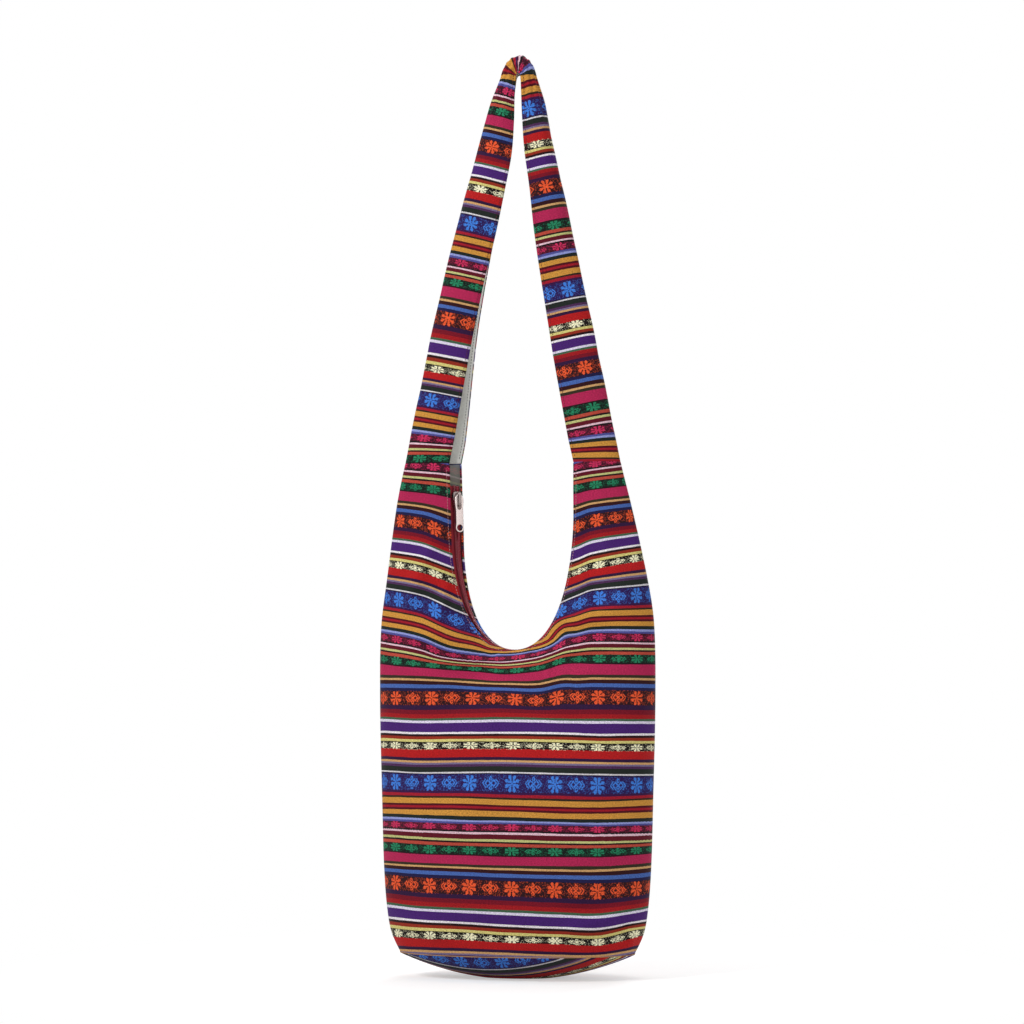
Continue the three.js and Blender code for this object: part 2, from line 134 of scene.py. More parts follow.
# The frame's own dimensions. The profiles are (how far up the body, millimetres more or less).
BODY_WIDTH, BODY_DEPTH, BASE_SEAM, MOUTH_LOW, HORN_TOP = 302.0, 134.0, 27.0, 353.0, 557.0
CLOTH, SEWN_GAP = 1.6, 0.35
SIDE_PROFILE = ((0, -19), (0.062, -10.5), (0.157, -5.5), (0.326, -2.5), (0.515, 0),
                (0.666, -1), (0.76, -7.5), (0.911, -21.5), (1, -32))
DEPTH_PROFILE = ((0, -6), (0.14, 0), (0.42, -2), (0.61, -14), (0.76, -30), (0.91, -46), (1, -52))
ZIP_TURN = ((0, 42), (0.2, 42), (0.45, 8), (0.55, 0), (0.8, 8), (1, 8))
COIL_OUTER, COIL_HALF, TAPE, TAPE_BEND, TAPE_LAP = 3.5, 1.2, 0.8, 2.5, 5.0
ZIP_HALF_GAP = COIL_OUTER + TAPE_BEND + 2.5
TAPE_DEPTH = COIL_HALF + SEWN_GAP + TAPE / 2
ARCH_X, ARCH_Z, ARCH_RADIUS = 1.5, 980.0, 22.0
FLAP_SHARE = ((0, 1), (0.32, 0.93), (0.58, 0.84), (0.8, 0.61), (0.91, 0.32), (1, 0))
TOP_HALF_DEPTH, FOLDED_WIDTH, TOP_FLAP = 14.0, 48.0, 18.0


def rise(z):
    return (z - BASE_SEAM) / (HORN_TOP - BASE_SEAM)


def half_width(z):
    return (BODY_WIDTH - CLOTH) / 2 + through(SIDE_PROFILE, rise(z))


def half_depth(z):
    return (BODY_DEPTH - CLOTH) / 2 + through(DEPTH_PROFILE, rise(z))


def sway(z):
    return -5.0 * smooth((rise(z) - 0.7) / 0.3)


def reached_along(points):
    """The distance along a path to each of its points."""
    reached = [0.0]
    for before, after in zip(points, points[1:]):
        reached.append(reached[-1] + (after - before).length)
    return reached


def bezier(a, b, c, d, u):
    v = 1 - u
    return a * v ** 3 + b * 3 * v * v * u + c * 3 * v * u * u + d * u ** 3


def mouth_line():
    """The mouth's middle line as points and their distances along it, and the lowest point's share."""
    left, right = Vector((-66, 0, 470)), Vector((64.8, 0, 495))
    low = Vector((-2, 0, MOUTH_LOW))
    down = (left, Vector((-64, 0, (MOUTH_LOW + left.z) / 2)), Vector((-45, 0, MOUTH_LOW)), low)
    up = (low, Vector((42, 0, MOUTH_LOW)), Vector((63, 0, (MOUTH_LOW + right.z) / 2)), right)
    points = [left + Vector((-2.6, 0, 87)) * (1 - i / 40) for i in range(40)]
    points += [bezier(*down, i / 200) for i in range(200)]
    low_index = len(points)
    points += [bezier(*up, i / 200) for i in range(200)]
    points += [right + Vector((0, 0, 62)) * (i / 40) for i in range(41)]
    reached = reached_along(points)
    return points, reached, reached[low_index] / reached[-1]


MOUTH, MOUTH_REACH, LOW_SHARE = mouth_line()
MOUTH_LENGTH = MOUTH_REACH[-1]


def on_mouth(share):
    """The point of the mouth's line at a share of its length, and its direction there."""
    place = min(max(share, 0.0), 1.0) * MOUTH_LENGTH
    k = min(bisect.bisect_right(MOUTH_REACH, place), len(MOUTH) - 1)
    part = (place - MOUTH_REACH[k - 1]) / (MOUTH_REACH[k] - MOUTH_REACH[k - 1])
    return MOUTH[k - 1].lerp(MOUTH[k], part), (MOUTH[k] - MOUTH[k - 1]).normalized()


def zip_frame(share):
    """The zip's middle, and its directions along, across and outwards, at a share of the mouth."""
    middle, along = on_mouth(share)
    turn = math.radians(through(ZIP_TURN, share))
    across = Vector((math.sin(turn), math.cos(turn), 0))
    across = (across - along * across.dot(along)).normalized()
    return middle, along, across, along.cross(across)


# A panel's outer edge runs down the side and round a quarter of the base. Its pace is even at the horn's
# top and quickens further down. It reaches the base seam at CORNER_HALF, a share of half the mouth's line.
SIDE_RUN = HORN_TOP - BASE_SEAM
BASE_RUN = math.pi / 4 * (half_width(BASE_SEAM) + half_depth(BASE_SEAM))
SIDE_SHARE = SIDE_RUN / (SIDE_RUN + BASE_RUN)
START_PACE = MOUTH_LENGTH / 2 / (SIDE_RUN + BASE_RUN)
CORNER_HALF = ((math.sqrt(START_PACE ** 2 + 4 * (1 - START_PACE) * SIDE_SHARE) - START_PACE)
               / (2 * (1 - START_PACE)))


def outer_edge(share):
    """A place round a panel's outer edge: down one side, along the base seam, and up the other."""
    side = -1 if share < LOW_SHARE else 1
    half = share / LOW_SHARE if side < 0 else (1 - share) / (1 - LOW_SHARE)
    run = START_PACE * half + (1 - START_PACE) * half * half
    if run <= SIDE_SHARE:
        z = HORN_TOP - SIDE_RUN * run / SIDE_SHARE
        return Vector((side * half_width(z) + sway(z), 0, z))
    angle = math.pi / 2 * (run - SIDE_SHARE) / (1 - SIDE_SHARE)
    return Vector((side * half_width(BASE_SEAM) * math.cos(angle), 0, BASE_SEAM))


# The fold at a horn's side has this radius, which gives the folded horn's half depth
FOLD_RADIUS = 3.7
HORN_HALF_DEPTH = math.sqrt(FOLD_RADIUS * abs(outer_edge(0).x - MOUTH[0].x) / 1.5)
# The cloth turns from folded horns to the round stuffed body this far from the mouth and from the top.
# At the outer edge each panel stands this far from the middle.
FILLED_FROM_MOUTH, FILLED_FROM_TOP, EDGE_DEPTH = 62.0, 60.0, 0.45


def fold_depth(edge, middle, t):
    """Half the depth of folded cloth, from its open edge (0) to the fold (1)."""
    return middle * math.sqrt(max(0.0, 1 - t ** 3)) - (middle - edge) * (1 - t) ** 2


def panel_point(face, share, t):
    """A point of a panel's middle surface, from the mouth (0) to the outer edge (1)."""
    middle, _, across, _ = zip_frame(share)
    inner = middle + across * (face * ZIP_HALF_GAP)
    outer = outer_edge(share)
    x, z = lerp(inner.x, outer.x, t), lerp(inner.z, outer.z, t)
    from_mouth = t * math.hypot(outer.x - inner.x, outer.z - inner.z)
    filled = (1 - math.exp(-from_mouth / FILLED_FROM_MOUTH)) * smooth((HORN_TOP - z) / FILLED_FROM_TOP)
    wide = min(1.0, abs(x - sway(z)) / half_width(z))
    body = half_depth(z) * math.sqrt(1 - wide * wide)
    horn = fold_depth(abs(inner.y), HORN_HALF_DEPTH, t)
    return Vector((x, face * (EDGE_DEPTH + horn * (1 - filled) + body * filled), z))


def normal_at(grid, i, j):
    along = grid[min(i + 1, len(grid) - 1)][j] - grid[max(i - 1, 0)][j]
    across = grid[i][min(j + 1, len(grid[0]) - 1)] - grid[i][max(j - 1, 0)]
    return along.cross(across).normalized()


def turned_line(line, before, normals, depth):
    """Two more lines past an edge's line, rounding over inwards."""
    near, far = [], []
    for point, inner, normal in zip(line, before, normals):
        beyond = (point - inner).normalized() * 0.35
        near.append(point + beyond - normal * (depth * 0.35))
        far.append(point + beyond * 0.6 - normal * depth)
    return near, far


def turned_in(grid, outward, depth, ends=True, sides=(True, True)):
    """The grid with its edges turned inwards, as sewn cloth has: two more lines on each edge."""
    normals = [[normal_at(grid, i, j) * outward for j in range(len(grid[0]))] for i in range(len(grid))]
    if ends:
        first = turned_line(grid[0], grid[1], normals[0], depth)[::-1]
        last = turned_line(grid[-1], grid[-2], normals[-1], depth)
        grid = [*first, *grid, *last]
        normals = [normals[0], normals[0], *normals, normals[-1], normals[-1]]
    columns, slopes = list(zip(*grid)), list(zip(*normals))
    before = turned_line(columns[0], columns[1], slopes[0], depth)[::-1] if sides[0] else ()
    after = turned_line(columns[-1], columns[-2], slopes[-1], depth) if sides[1] else ()
    return [list(line) for line in zip(*before, *columns, *after)]


def make_object(name, shape, body, materials, replaced=()):
    """A finished piece from a mesh in millimetres, riding on its body."""
    bmesh.ops.scale(shape, vec=(MM, MM, MM), verts=shape.verts)
    mesh = bpy.data.meshes.new(name)
    shape.to_mesh(mesh)
    shape.free()
    for polygon in mesh.polygons:
        polygon.use_smooth = True
    piece = bpy.data.objects.new(name, mesh)
    bpy.context.scene.collection.objects.link(piece)
    for material in materials:
        mesh.materials.append(material)
    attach(piece, body)
    if replaced:
        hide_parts(*replaced)
    return piece


def grid_shape(grid, outward, threads):
    """A sheet through a grid of points, with its cloth coordinates in millimetres as a UV map.

    threads gives them for a point's line and place in it, and the face's middle line.
    """
    shape = bmesh.new()
    columns, rows = len(grid) - 1, len(grid[0]) - 1
    bmesh.ops.create_grid(shape, x_segments=columns, y_segments=rows, size=0.5)
    places = {}
    for vertex in shape.verts:
        i, j = round((vertex.co.x + 0.5) * columns), round((vertex.co.y + 0.5) * rows)
        places[vertex] = (i, j)
        vertex.co = grid[i][j]
    layer = shape.loops.layers.uv.new("threads")
    for face in shape.faces:
        middle = sum(places[vertex][0] for vertex in face.verts) / 4
        for loop in face.loops:
            i, j = places[loop.vert]
            loop[layer].uv = threads(i, j, middle)
    if outward < 0:
        bmesh.ops.reverse_faces(shape, faces=shape.faces)
    return shape


def thicken(piece, thickness, reverse=False):
    """Gives a sheet its real thickness about its middle surface, with its reverse side's material."""
    wall = piece.modifiers.new("thickness", "SOLIDIFY")
    wall.thickness = thickness * MM
    wall.offset = 0
    if reverse:
        wall.material_offset = 1


# Cloth coordinates

# How the striped cloth lies: at places across the body, from -1 at the left side to 1 at the right,
# the height seen from the front, as rows down from the crown, and the row of the cloth that lies there.
CLOTH_LIE = (
    (-1.0, ((465, 448), (485, 470), (520, 510), (564, 557), (598, 594), (637, 637), (659, 659), (720, 720),
            (745, 745))),
    (-0.7, ((467, 448), (489, 470), (525, 510), (571, 557), (606, 594), (645.5, 637), (666, 659), (673, 671),
            (679, 678), (699, 699), (720, 720), (745, 745))),
    (-0.5, ((470, 448), (492.5, 470), (536, 510), (580.5, 557), (619, 594), (656, 637), (668.5, 659),
            (675, 671), (681, 678), (688, 687), (698.5, 699), (720, 720), (745, 745))),
    (-0.28, ((480, 448), (595, 557), (631, 594), (660, 637), (670, 659), (677, 671), (683, 678), (690, 687),
            (699, 699), (720, 720), (745, 745))),
    (-0.1, ((492, 448), (607, 557), (639, 588), (645, 594), (656, 630), (660.5, 637), (672, 659), (680, 671),
            (683.5, 678), (691, 687), (699.5, 699), (720, 720), (745, 745))),
    (0.15, ((472, 444), (494, 468), (536, 508), (585, 554), (626, 590), (640, 600), (655, 637), (669.5, 659),
            (677, 671), (684, 678), (691.5, 687), (702, 699), (722, 720), (745, 745))),
    (0.33, ((470, 446), (492, 470), (533, 510), (579, 557), (613, 594), (623.5, 611), (633, 623),
            (645.5, 637), (662, 659), (670.5, 671), (679, 678), (697.5, 699), (720, 720), (745, 745))),
    (0.44, ((467, 447), (489, 470), (528, 510), (574, 557), (606, 594), (641, 637), (660.5, 659), (670, 671),
            (679, 678), (698, 699), (720, 720), (745, 745))),
    (0.55, ((465, 448), (486, 470), (522, 510), (568, 557), (600.5, 594), (638, 637), (660, 659), (698, 699),
            (720, 720), (745, 745))),
    (1.0, ((456, 448), (479, 470), (514.5, 510), (556.5, 557), (596, 594), (639, 637), (660, 659), (720, 720),
            (745, 745))),
)
# The same below the mouth, where the stuffing lets the cloth sag: rows of the cloth, and for each place
# across the body the heights at which they lie
LOW_ROWS = (718.8, 731.1, 744.5, 771.7, 781.8, 799.4, 810.9, 817.2, 824.5, 832, 836.4, 853.8, 865, 868.7,
            876.2, 888.5, 910.3, 922.3, 935.3, 948.5, 960)
LOW_LIE = (
    (-0.95, (719.1, 731.6, 744.5, 770.7, 780.2, 799.2, 810.6, 816.3, 822.8, 828.7, 834.2, 851.5, 860.6, 863.4,
             869.7, 880.6, 905.5, 917, 931.3, 945.7, 958)),
    (-0.72, (720.9, 733.2, 745.6, 772.6, 781.6, 800.2, 811, 818.2, 824.4, 830.6, 836.2, 854.2, 862.8, 865.5,
             872, 884.6, 909.4, 920.9, 934.4, 947.5, 959.5)),
    (-0.37, (720.4, 733.2, 745.1, 772.3, 782.2, 800.6, 811.7, 820, 826, 832.5, 838.5, 855.4, 864.4, 867.6,
             873.9, 886.9, 911.6, 923.1, 936.3, 949.1, 960.5)),
    (-0.1, (719.6, 732.8, 745.3, 772.1, 782.6, 802.2, 812.8, 820.6, 826.2, 833.1, 839.2, 856.7, 865.3, 868.9,
            875.8, 888.3, 913.5, 925.6, 939, 950.4, 962)),
    (0.32, (720.8, 733.4, 746.2, 773.6, 783.7, 803.6, 815, 822.2, 827.4, 834.4, 840.8, 857.3, 865.9, 870.3,
            877.2, 890.2, 916, 928.1, 940.5, 952.7, 963)),
    (0.6, (721.2, 734.6, 747.2, 774.2, 785, 804.2, 815.2, 822.8, 828.5, 834.8, 841.1, 857.3, 866, 870.3,
           877.7, 891.1, 917, 928.6, 942, 952.4, 963)),
    (0.88, (721.4, 734.4, 747.4, 774.6, 784.4, 802.6, 814, 822, 827.4, 834, 840.4, 854.8, 863.6, 867.4,
            875.8, 888.3, 911.2, 921.7, 932.3, 945.7, 958)),
    (1.0, (721.4, 734.2, 747.3, 774.6, 783.6, 801.7, 813.2, 821.4, 826.8, 833.4, 839.6, 852.9, 862, 865.3,
           873.7, 884.4, 906.8, 918.9, 930.4, 943.7, 956)),
)
# Where the first table gives way to the second, in rows, and how far across the body a place is 1
LIES_MEET, LIES_BLEND = 700.0, 18.0
VIEW_HALF_WIDTH, VIEW_ROWS = 150.0, 976.0
FLOWER_CENTRE = 3.3
ARC_STEPS = 200


def arc_table(ratio):
    """Distances round a quarter of an ellipse, from its flat side to its end, for equal steps of x."""
    table, total = [0.0], 0.0
    for i in range(ARC_STEPS):
        a, b = i / ARC_STEPS, (i + 1) / ARC_STEPS
        fall = ratio * (math.sqrt(1 - a * a) - math.sqrt(1 - b * b))
        total += math.hypot(b - a, fall)
        table.append(total)
    return table


ARC = arc_table(BODY_DEPTH / BODY_WIDTH)


def round_body(x, z):
    """The distance from the front's middle round the body to a place, along a weft thread."""
    wide = min(1.0, abs(x - sway(z)) / half_width(z))
    place = wide * ARC_STEPS
    i = min(int(place), ARC_STEPS - 1)
    return math.copysign(half_width(z) * lerp(ARC[i], ARC[i + 1], place - i), x - sway(z))


def seen_from_front(point):
    """Where a point shows from the front: across the body from -1 to 1, and rows down from the crown."""
    turn = math.radians(CAMERA_TURN)
    depth = CAMERA_DISTANCE - point.x * math.sin(turn) - abs(point.y) * math.cos(turn)
    aside = (point.x * math.cos(turn) - abs(point.y) * math.sin(turn)) * CAMERA_DISTANCE / depth
    height = CAMERA_HEIGHT + (point.z - CAMERA_HEIGHT) * CAMERA_DISTANCE / depth
    return aside / VIEW_HALF_WIDTH, VIEW_ROWS - height / PIXEL


def body_threads(point):
    """The place in the cloth of a point of the body: along the weft, and down the stripes."""
    wide, row = seen_from_front(point)
    lower = smooth((row - LIES_MEET) / LIES_BLEND)
    lies = 0.0
    if lower < 1:
        lies += (1 - lower) * through([(place, along_table(pairs, row)) for place, pairs in CLOTH_LIE], wide)
    if lower > 0:
        rows = [(place, along_table(tuple(zip(heights, LOW_ROWS)), row)) for place, heights in LOW_LIE]
        lies += lower * through(rows, wide)
    return round_body(point.x, point.z) - FLOWER_CENTRE, (lies - CROWN_ROW) * PIXEL


# Folds seen in the cloth: from and to in x and z, height and half width
FOLD_HEIGHT = 1.35
FRONT_FOLDS = (
    ((-104, 374), (-34, 338), 4.4, 9), ((-98, 350), (-26, 322), -3.0, 9), ((26, 360), (45, 300), 5.0, 7),
    ((50, 376), (122, 400), 4.0, 9), ((18, 332), (122, 354), -3.4, 10), ((-60, 312), (-132, 340), 3.0, 10),
    ((42, 300), (122, 256), 2.8, 12), ((-92, 470), (-122, 392), 3.0, 9), ((92, 480), (128, 400), 3.2, 9),
    ((-24, 340), (26, 331), 3.2, 6), ((-134, 62), (-64, 44), 2.6, 10), ((56, 52), (130, 76), 3.2, 9),
    ((124, 60), (127, 30), 4.4, 6), ((-14, 112), (96, 92), 1.6, 14), ((-130, 150), (-40, 170), 1.5, 16),
    ((-70, 440), (-84, 380), 2.6, 6), ((70, 452), (86, 384), 2.6, 6), ((-120, 262), (-20, 246), 1.7, 15),
)
BACK_FOLDS = (
    ((-90, 368), (-34, 342), 4.0, 8), ((36, 356), (110, 392), 4.4, 9), ((-40, 330), (-120, 352), 3.2, 10),
    ((16, 318), (60, 268), 3.0, 10), ((-118, 470), (-96, 396), 3.0, 8), ((92, 466), (122, 398), 3.0, 8),
    ((-128, 58), (-60, 46), 2.8, 9), ((40, 50), (124, 70), 2.8, 9), ((-100, 220), (10, 236), 1.7, 15),
)


def ridge(point, start, end, height, half):
    """The height of one long soft fold at a point."""
    ax, az = start
    run_x, run_z = end[0] - ax, end[1] - az
    length = math.hypot(run_x, run_z)
    share = ((point.x - ax) * run_x + (point.z - az) * run_z) / length ** 2
    aside = ((point.x - ax) * run_z - (point.z - az) * run_x) / length
    fade = smooth((share + 0.15) / 0.4) * smooth((1.15 - share) / 0.4)
    return FOLD_HEIGHT * height * fade * math.exp(-(aside / half) ** 2) if abs(aside) < 4 * half else 0.0


def ripple(point, seed, depth):
    """Soft unevenness of stuffed cloth: broad swells with smaller ones on them."""
    where = Vector((point.x, point.y * 0.6, point.z))
    broad = noise.noise(Vector((where.x / 85, seed, where.z / 48)))
    fine = noise.noise(Vector((where.x / 34 + seed, where.y / 40, where.z / 17)))
    return depth * (broad + fine * 0.34)


# The base seam draws the cloth in by this share, less and less up to this height above it
SEAM_DRAW, SEAM_DRAW_HEIGHT = 0.03, 26.0


def drawn_in(z):
    """How much the base seam draws the cloth in, as a factor on X and Y, near the bottom of the body."""
    return 1 - SEAM_DRAW * max(0.0, 1 - (z - BASE_SEAM) / SEAM_DRAW_HEIGHT) ** 2


SIDE_STEPS, BASE_STEPS, PANEL_ROWS = 110, 130, 96
# How far from the zip and from the outer edge the cloth is held flat by its seams
HELD_AT_ZIP, HELD_AT_EDGE, HELD_AT_TOP = 26.0, 30.0, 40.0


def panel_grid(face, sizes):
    """The points of one panel, from the left horn's top round the mouth to the right horn's top."""
    left, right = CORNER_HALF * LOW_SHARE, 1 - CORNER_HALF * (1 - LOW_SHARE)
    stations = [left * i / SIDE_STEPS for i in range(SIDE_STEPS)]
    stations += [lerp(left, right, i / BASE_STEPS) for i in range(BASE_STEPS)]
    stations += [lerp(right, 1, i / SIDE_STEPS) for i in range(SIDE_STEPS + 1)]
    down = [(j / PANEL_ROWS) * (2 - j / PANEL_ROWS) for j in range(PANEL_ROWS + 1)]
    grid = [[panel_point(face, share, t) for t in down] for share in stations]
    folds = FRONT_FOLDS if face < 0 else BACK_FOLDS
    moved = []
    for i, line in enumerate(grid):
        run = (line[-1] - line[0]).length
        moved.append([])
        for j, (t, point) in enumerate(zip(down, line)):
            held = (smooth(t * run / HELD_AT_ZIP) * smooth((1 - t) * run / HELD_AT_EDGE)
                    * smooth((HORN_TOP - point.z) / HELD_AT_TOP))
            lift = ripple(point, 3.1 * face, sizes.swell_depth / MM)
            lift += sum(ridge(point, *fold) for fold in folds)
            place = point + normal_at(grid, i, j) * (face * held * lift)
            drawn = drawn_in(place.z)
            moved[-1].append(Vector((place.x * drawn, place.y * drawn, place.z)))
    return moved


BASE_SINK, BASE_FLAT, BASE_RINGS, BASE_SIDES = 25.15, 0.09, 40, 160


def base_grid():
    """The base's underside: a shallow stuffed oval, as rings round its middle."""
    grid = []
    for i in range(BASE_SIDES + 1):
        angle = 2 * math.pi * i / BASE_SIDES
        grid.append([])
        for j in range(BASE_RINGS + 1):
            share = j / BASE_RINGS
            under = BASE_SINK * max(0.0, share ** 2 - BASE_FLAT) / (1 - BASE_FLAT)
            out = share * drawn_in(BASE_SEAM)
            grid[-1].append(Vector((half_width(BASE_SEAM) * out * math.cos(angle),
                                    half_depth(BASE_SEAM) * out * math.sin(angle), under + CLOTH / 2)))
    return grid


BASE_SLANT, BASE_ROW = math.radians(9), 772.8


def base_threads(point):
    """The base's stripes run a little askew to the front, in the other order."""
    down = (point.y + 30) * math.cos(BASE_SLANT) + (point.x + 84) * math.sin(BASE_SLANT)
    along = point.x * math.cos(BASE_SLANT) - point.y * math.sin(BASE_SLANT)
    return along, (BASE_ROW - CROWN_ROW) * PIXEL - down


# The strap

# Heights on each strand, and the row of the cloth that lies there
LEFT_ROWS = ((563.5, 848), (625.7, 783), (658.4, 746), (715, 699), (818.6, 594), (856.7, 557), (903.6, 510))
RIGHT_ROWS = ((570, 50), (589.7, 70), (614.8, 92), (658.4, 132), (706.3, 179), (744.5, 216), (858.9, 321),
              (905.8, 368), (946.1, 405))
FLOWER_FROM_FOLD = 16.0
# How much further in the front flap reaches, going up each strand, and how much less the left back one
LEFT_REACH = ((0.5, 0), (0.62, 2), (0.74, 2.6), (0.85, 3.4), (1, 1.5))
RIGHT_REACH = ((0.3, 0), (0.62, -3.8), (0.74, -5.8), (0.89, -3.4), (1, -1))
BACK_REACH = ((0.45, 0), (0.6, -1.6), (1, -1.6))
LEFT_BOW, RIGHT_BOW = -6.8, 1.0
# The open edge's half depth at the top, as a share of the strap's there, and the cloth's run over the top
EDGE_SHARE, ARCH_RUN = 0.8, math.pi * 14
STRAND_STEPS, ARCH_STEPS, FLAP_ROWS = 170, 44, 20


def strand_point(side, share):
    """A point of a strand's outer fold, going up."""
    seam = outer_edge(0 if side < 0 else 1)
    bow = LEFT_BOW if side < 0 else RIGHT_BOW
    x = lerp(seam.x, ARCH_X + side * ARCH_RADIUS, share) + bow * math.sin(math.pi * share)
    return Vector((x, 0, lerp(HORN_TOP + 2 * SEWN_GAP, ARCH_Z, share)))


def strand_section(side, share):
    """A strand's fold, the way in from it, its two flaps' widths, and its half depths."""
    fold = strand_point(side, share)
    up = (strand_point(side, share + 0.01) - strand_point(side, share - 0.01)).normalized()
    square = Vector((-side * up.z, 0, side * up.x))
    inwards = Vector((-side, 0, 0)).lerp(square, smooth(share / 0.12)).normalized()
    end = 0 if side < 0 else 1
    seam = outer_edge(end)
    flaps = []
    for face in (-1, 1):
        at_seam = abs(panel_point(face, end, 0).x - seam.x)
        table = (LEFT_REACH if face < 0 else BACK_REACH) if side < 0 else RIGHT_REACH
        flaps.append(TOP_FLAP + (FOLDED_WIDTH - TOP_FLAP) * through(FLAP_SHARE, share)
                     + (at_seam - FOLDED_WIDTH) * (1 - smooth(share / 0.5)) + through(table, share))
    edge = abs(panel_point(1, end, 0).y)
    return (fold, inwards, flaps, lerp(edge, TOP_HALF_DEPTH * EDGE_SHARE, share),
            lerp(HORN_HALF_DEPTH, TOP_HALF_DEPTH, share))


def arch_section(share):
    """The same where the strap goes over its hook."""
    angle = math.pi * share
    inwards = Vector((math.cos(angle), 0, -math.sin(angle)))
    fold = Vector((ARCH_X, 0, ARCH_Z)) - inwards * ARCH_RADIUS
    front = TOP_FLAP + lerp(LEFT_REACH[-1][1], RIGHT_REACH[-1][1], share)
    back = TOP_FLAP + lerp(BACK_REACH[-1][1], RIGHT_REACH[-1][1], share)
    return fold, inwards, [front, back], TOP_HALF_DEPTH * EDGE_SHARE, TOP_HALF_DEPTH


def section_points(section):
    """Points across the folded strap: front edge, round the fold, to the back edge."""
    fold, inwards, flaps, edge, middle = section
    line = []
    for k in range(2 * FLAP_ROWS + 1):
        back = k > FLAP_ROWS
        r = (2 * FLAP_ROWS - k if back else k) / FLAP_ROWS
        t = r * (2 - r)
        point = fold + inwards * (flaps[back] * (1 - t))
        point.y = (1 if back else -1) * fold_depth(edge, middle, t)
        line.append(point)
    return line


def strap_sections():
    sections = [strand_section(-1, i / STRAND_STEPS) for i in range(STRAND_STEPS)]
    sections += [arch_section(i / ARCH_STEPS) for i in range(ARCH_STEPS + 1)]
    return sections + [strand_section(1, 1 - i / STRAND_STEPS) for i in range(1, STRAND_STEPS + 1)]


# Long waves in the strap, and the pleats where it is gathered over the hook
WAVE_HEIGHT, PLEATS, PLEAT_HEIGHT, BUNCH_HEIGHT = 1.5, 19, 1.1, 0.75
# The load draws the strap's top together and up
PEAK_FROM, PEAK_RUN, PEAK_X, PEAK_WIDTH, PEAK_RISE = 948, 54, 5.0, 0.74, 3.4


def strap_grid(sections):
    """The strap's middle surface, with its soft waves and the pleats where it is gathered."""
    grid = [section_points(section) for section in sections]
    last = len(grid) - 1
    moved = []
    for i, line in enumerate(grid):
        gathered = smooth((line[FLAP_ROWS].z - 900) / 80)
        ends = smooth(min(i, last - i) / 14)
        bunched = smooth(1 - abs(i - last / 2) / (ARCH_STEPS * 0.6)) * BUNCH_HEIGHT
        moved.append([])
        for j, point in enumerate(line):
            across = abs(j - FLAP_ROWS) / FLAP_ROWS
            free = smooth((1 - across) / 0.12) * 0.8 + 0.2
            wave = noise.noise(Vector((across * 1.6, i / 26, 7.0 + (j > FLAP_ROWS) * 5)))
            pleats = math.sin(across * PLEATS + 0.6 * math.sin(i * 0.07)) * PLEAT_HEIGHT * gathered
            pleats += math.sin(i * 0.85 + 1.6 * math.sin(i * 0.31) + across * 2.5) * bunched * free
            place = point + normal_at(grid, i, j) * (wave * WAVE_HEIGHT * ends * free + pleats)
            peak = smooth((place.z - PEAK_FROM) / PEAK_RUN)
            x = lerp(place.x, lerp(PEAK_X, place.x, PEAK_WIDTH), peak)
            moved[-1].append(Vector((x, place.y, place.z + PEAK_RISE * peak)))
    return moved


def strap_threads(sections):
    """Cloth coordinates on the strap. Its two halves meet in a seam over the top."""
    def down(i, left):
        fold, inwards, flaps, *_ = sections[i]
        arch = min(max(i - STRAND_STEPS, 0), ARCH_STEPS) / ARCH_STEPS
        beyond = (arch if left else 1 - arch) * ARCH_RUN
        height = ARCH_Z if 0 < arch < 1 else (fold + inwards * (flaps[0] / 2)).z
        row = along_table(LEFT_ROWS if left else RIGHT_ROWS, min(height, ARCH_Z))
        return (row - CROWN_ROW) * PIXEL + (-beyond if left else beyond)

    crown = STRAND_STEPS + ARCH_STEPS / 2

    def threads(i, j, middle):
        # The grid has two turned-in lines before each first one
        line = min(max(i - 2, 0), len(sections) - 1)
        left = middle - 2 < crown
        across = j - 2 - FLAP_ROWS
        r = 1 - abs(across) / FLAP_ROWS
        from_fold = sections[line][2][across >= 0] * (1 - r * (2 - r))
        along = from_fold - FLOWER_FROM_FOLD if across < 0 else -from_fold - FLOWER_FROM_FOLD
        return along if left else -along, down(line, left)

    return threads


# Materials

# A Mix node's two colours and its mixed colour, among its inputs and outputs for all kinds of data
MIX_A, MIX_B, MIX_RESULT = 6, 7, 2


def node(tree, kind, *inputs, sockets=None, **settings):
    """Adds a shader node with its settings. Inputs, in order or by name, are numbers, colours or nodes."""
    made = tree.nodes.new("ShaderNode" + kind)
    for setting, value in settings.items():
        setattr(made, setting, value)
    named = [(made.inputs[name], value) for name, value in (sockets or {}).items()]
    for socket, value in [*zip(made.inputs, inputs), *named]:
        if isinstance(value, Sum):
            value = value.made
        if isinstance(value, bpy.types.Node):
            value = value.outputs[0]
        if isinstance(value, bpy.types.NodeSocket):
            tree.links.new(value, socket)
        elif value is not None:
            socket.default_value = value
    return made


def new_material(name):
    material = bpy.data.materials.new(name)
    material.use_nodes = True
    material.node_tree.nodes.clear()
    return material, material.node_tree


class Sum:
    """A number of a shader, so that Math nodes can be written as a sum. Other operations are calls."""

    def __init__(self, tree, made):
        self.tree, self.made = tree, made

    def __call__(self, operation, *others):
        return Sum(self.tree, node(self.tree, "Math", self, *others, operation=operation))

    def __add__(self, other):
        return self("ADD", other)

    def __sub__(self, other):
        return self("SUBTRACT", other)

    def __mul__(self, other):
        return self("MULTIPLY", other)

    def __truediv__(self, other):
        return self("DIVIDE", other)

    def __lt__(self, other):
        return self("LESS_THAN", other)

    def __gt__(self, other):
        return self("GREATER_THAN", other)

    def __abs__(self):
        return self("ABSOLUTE")


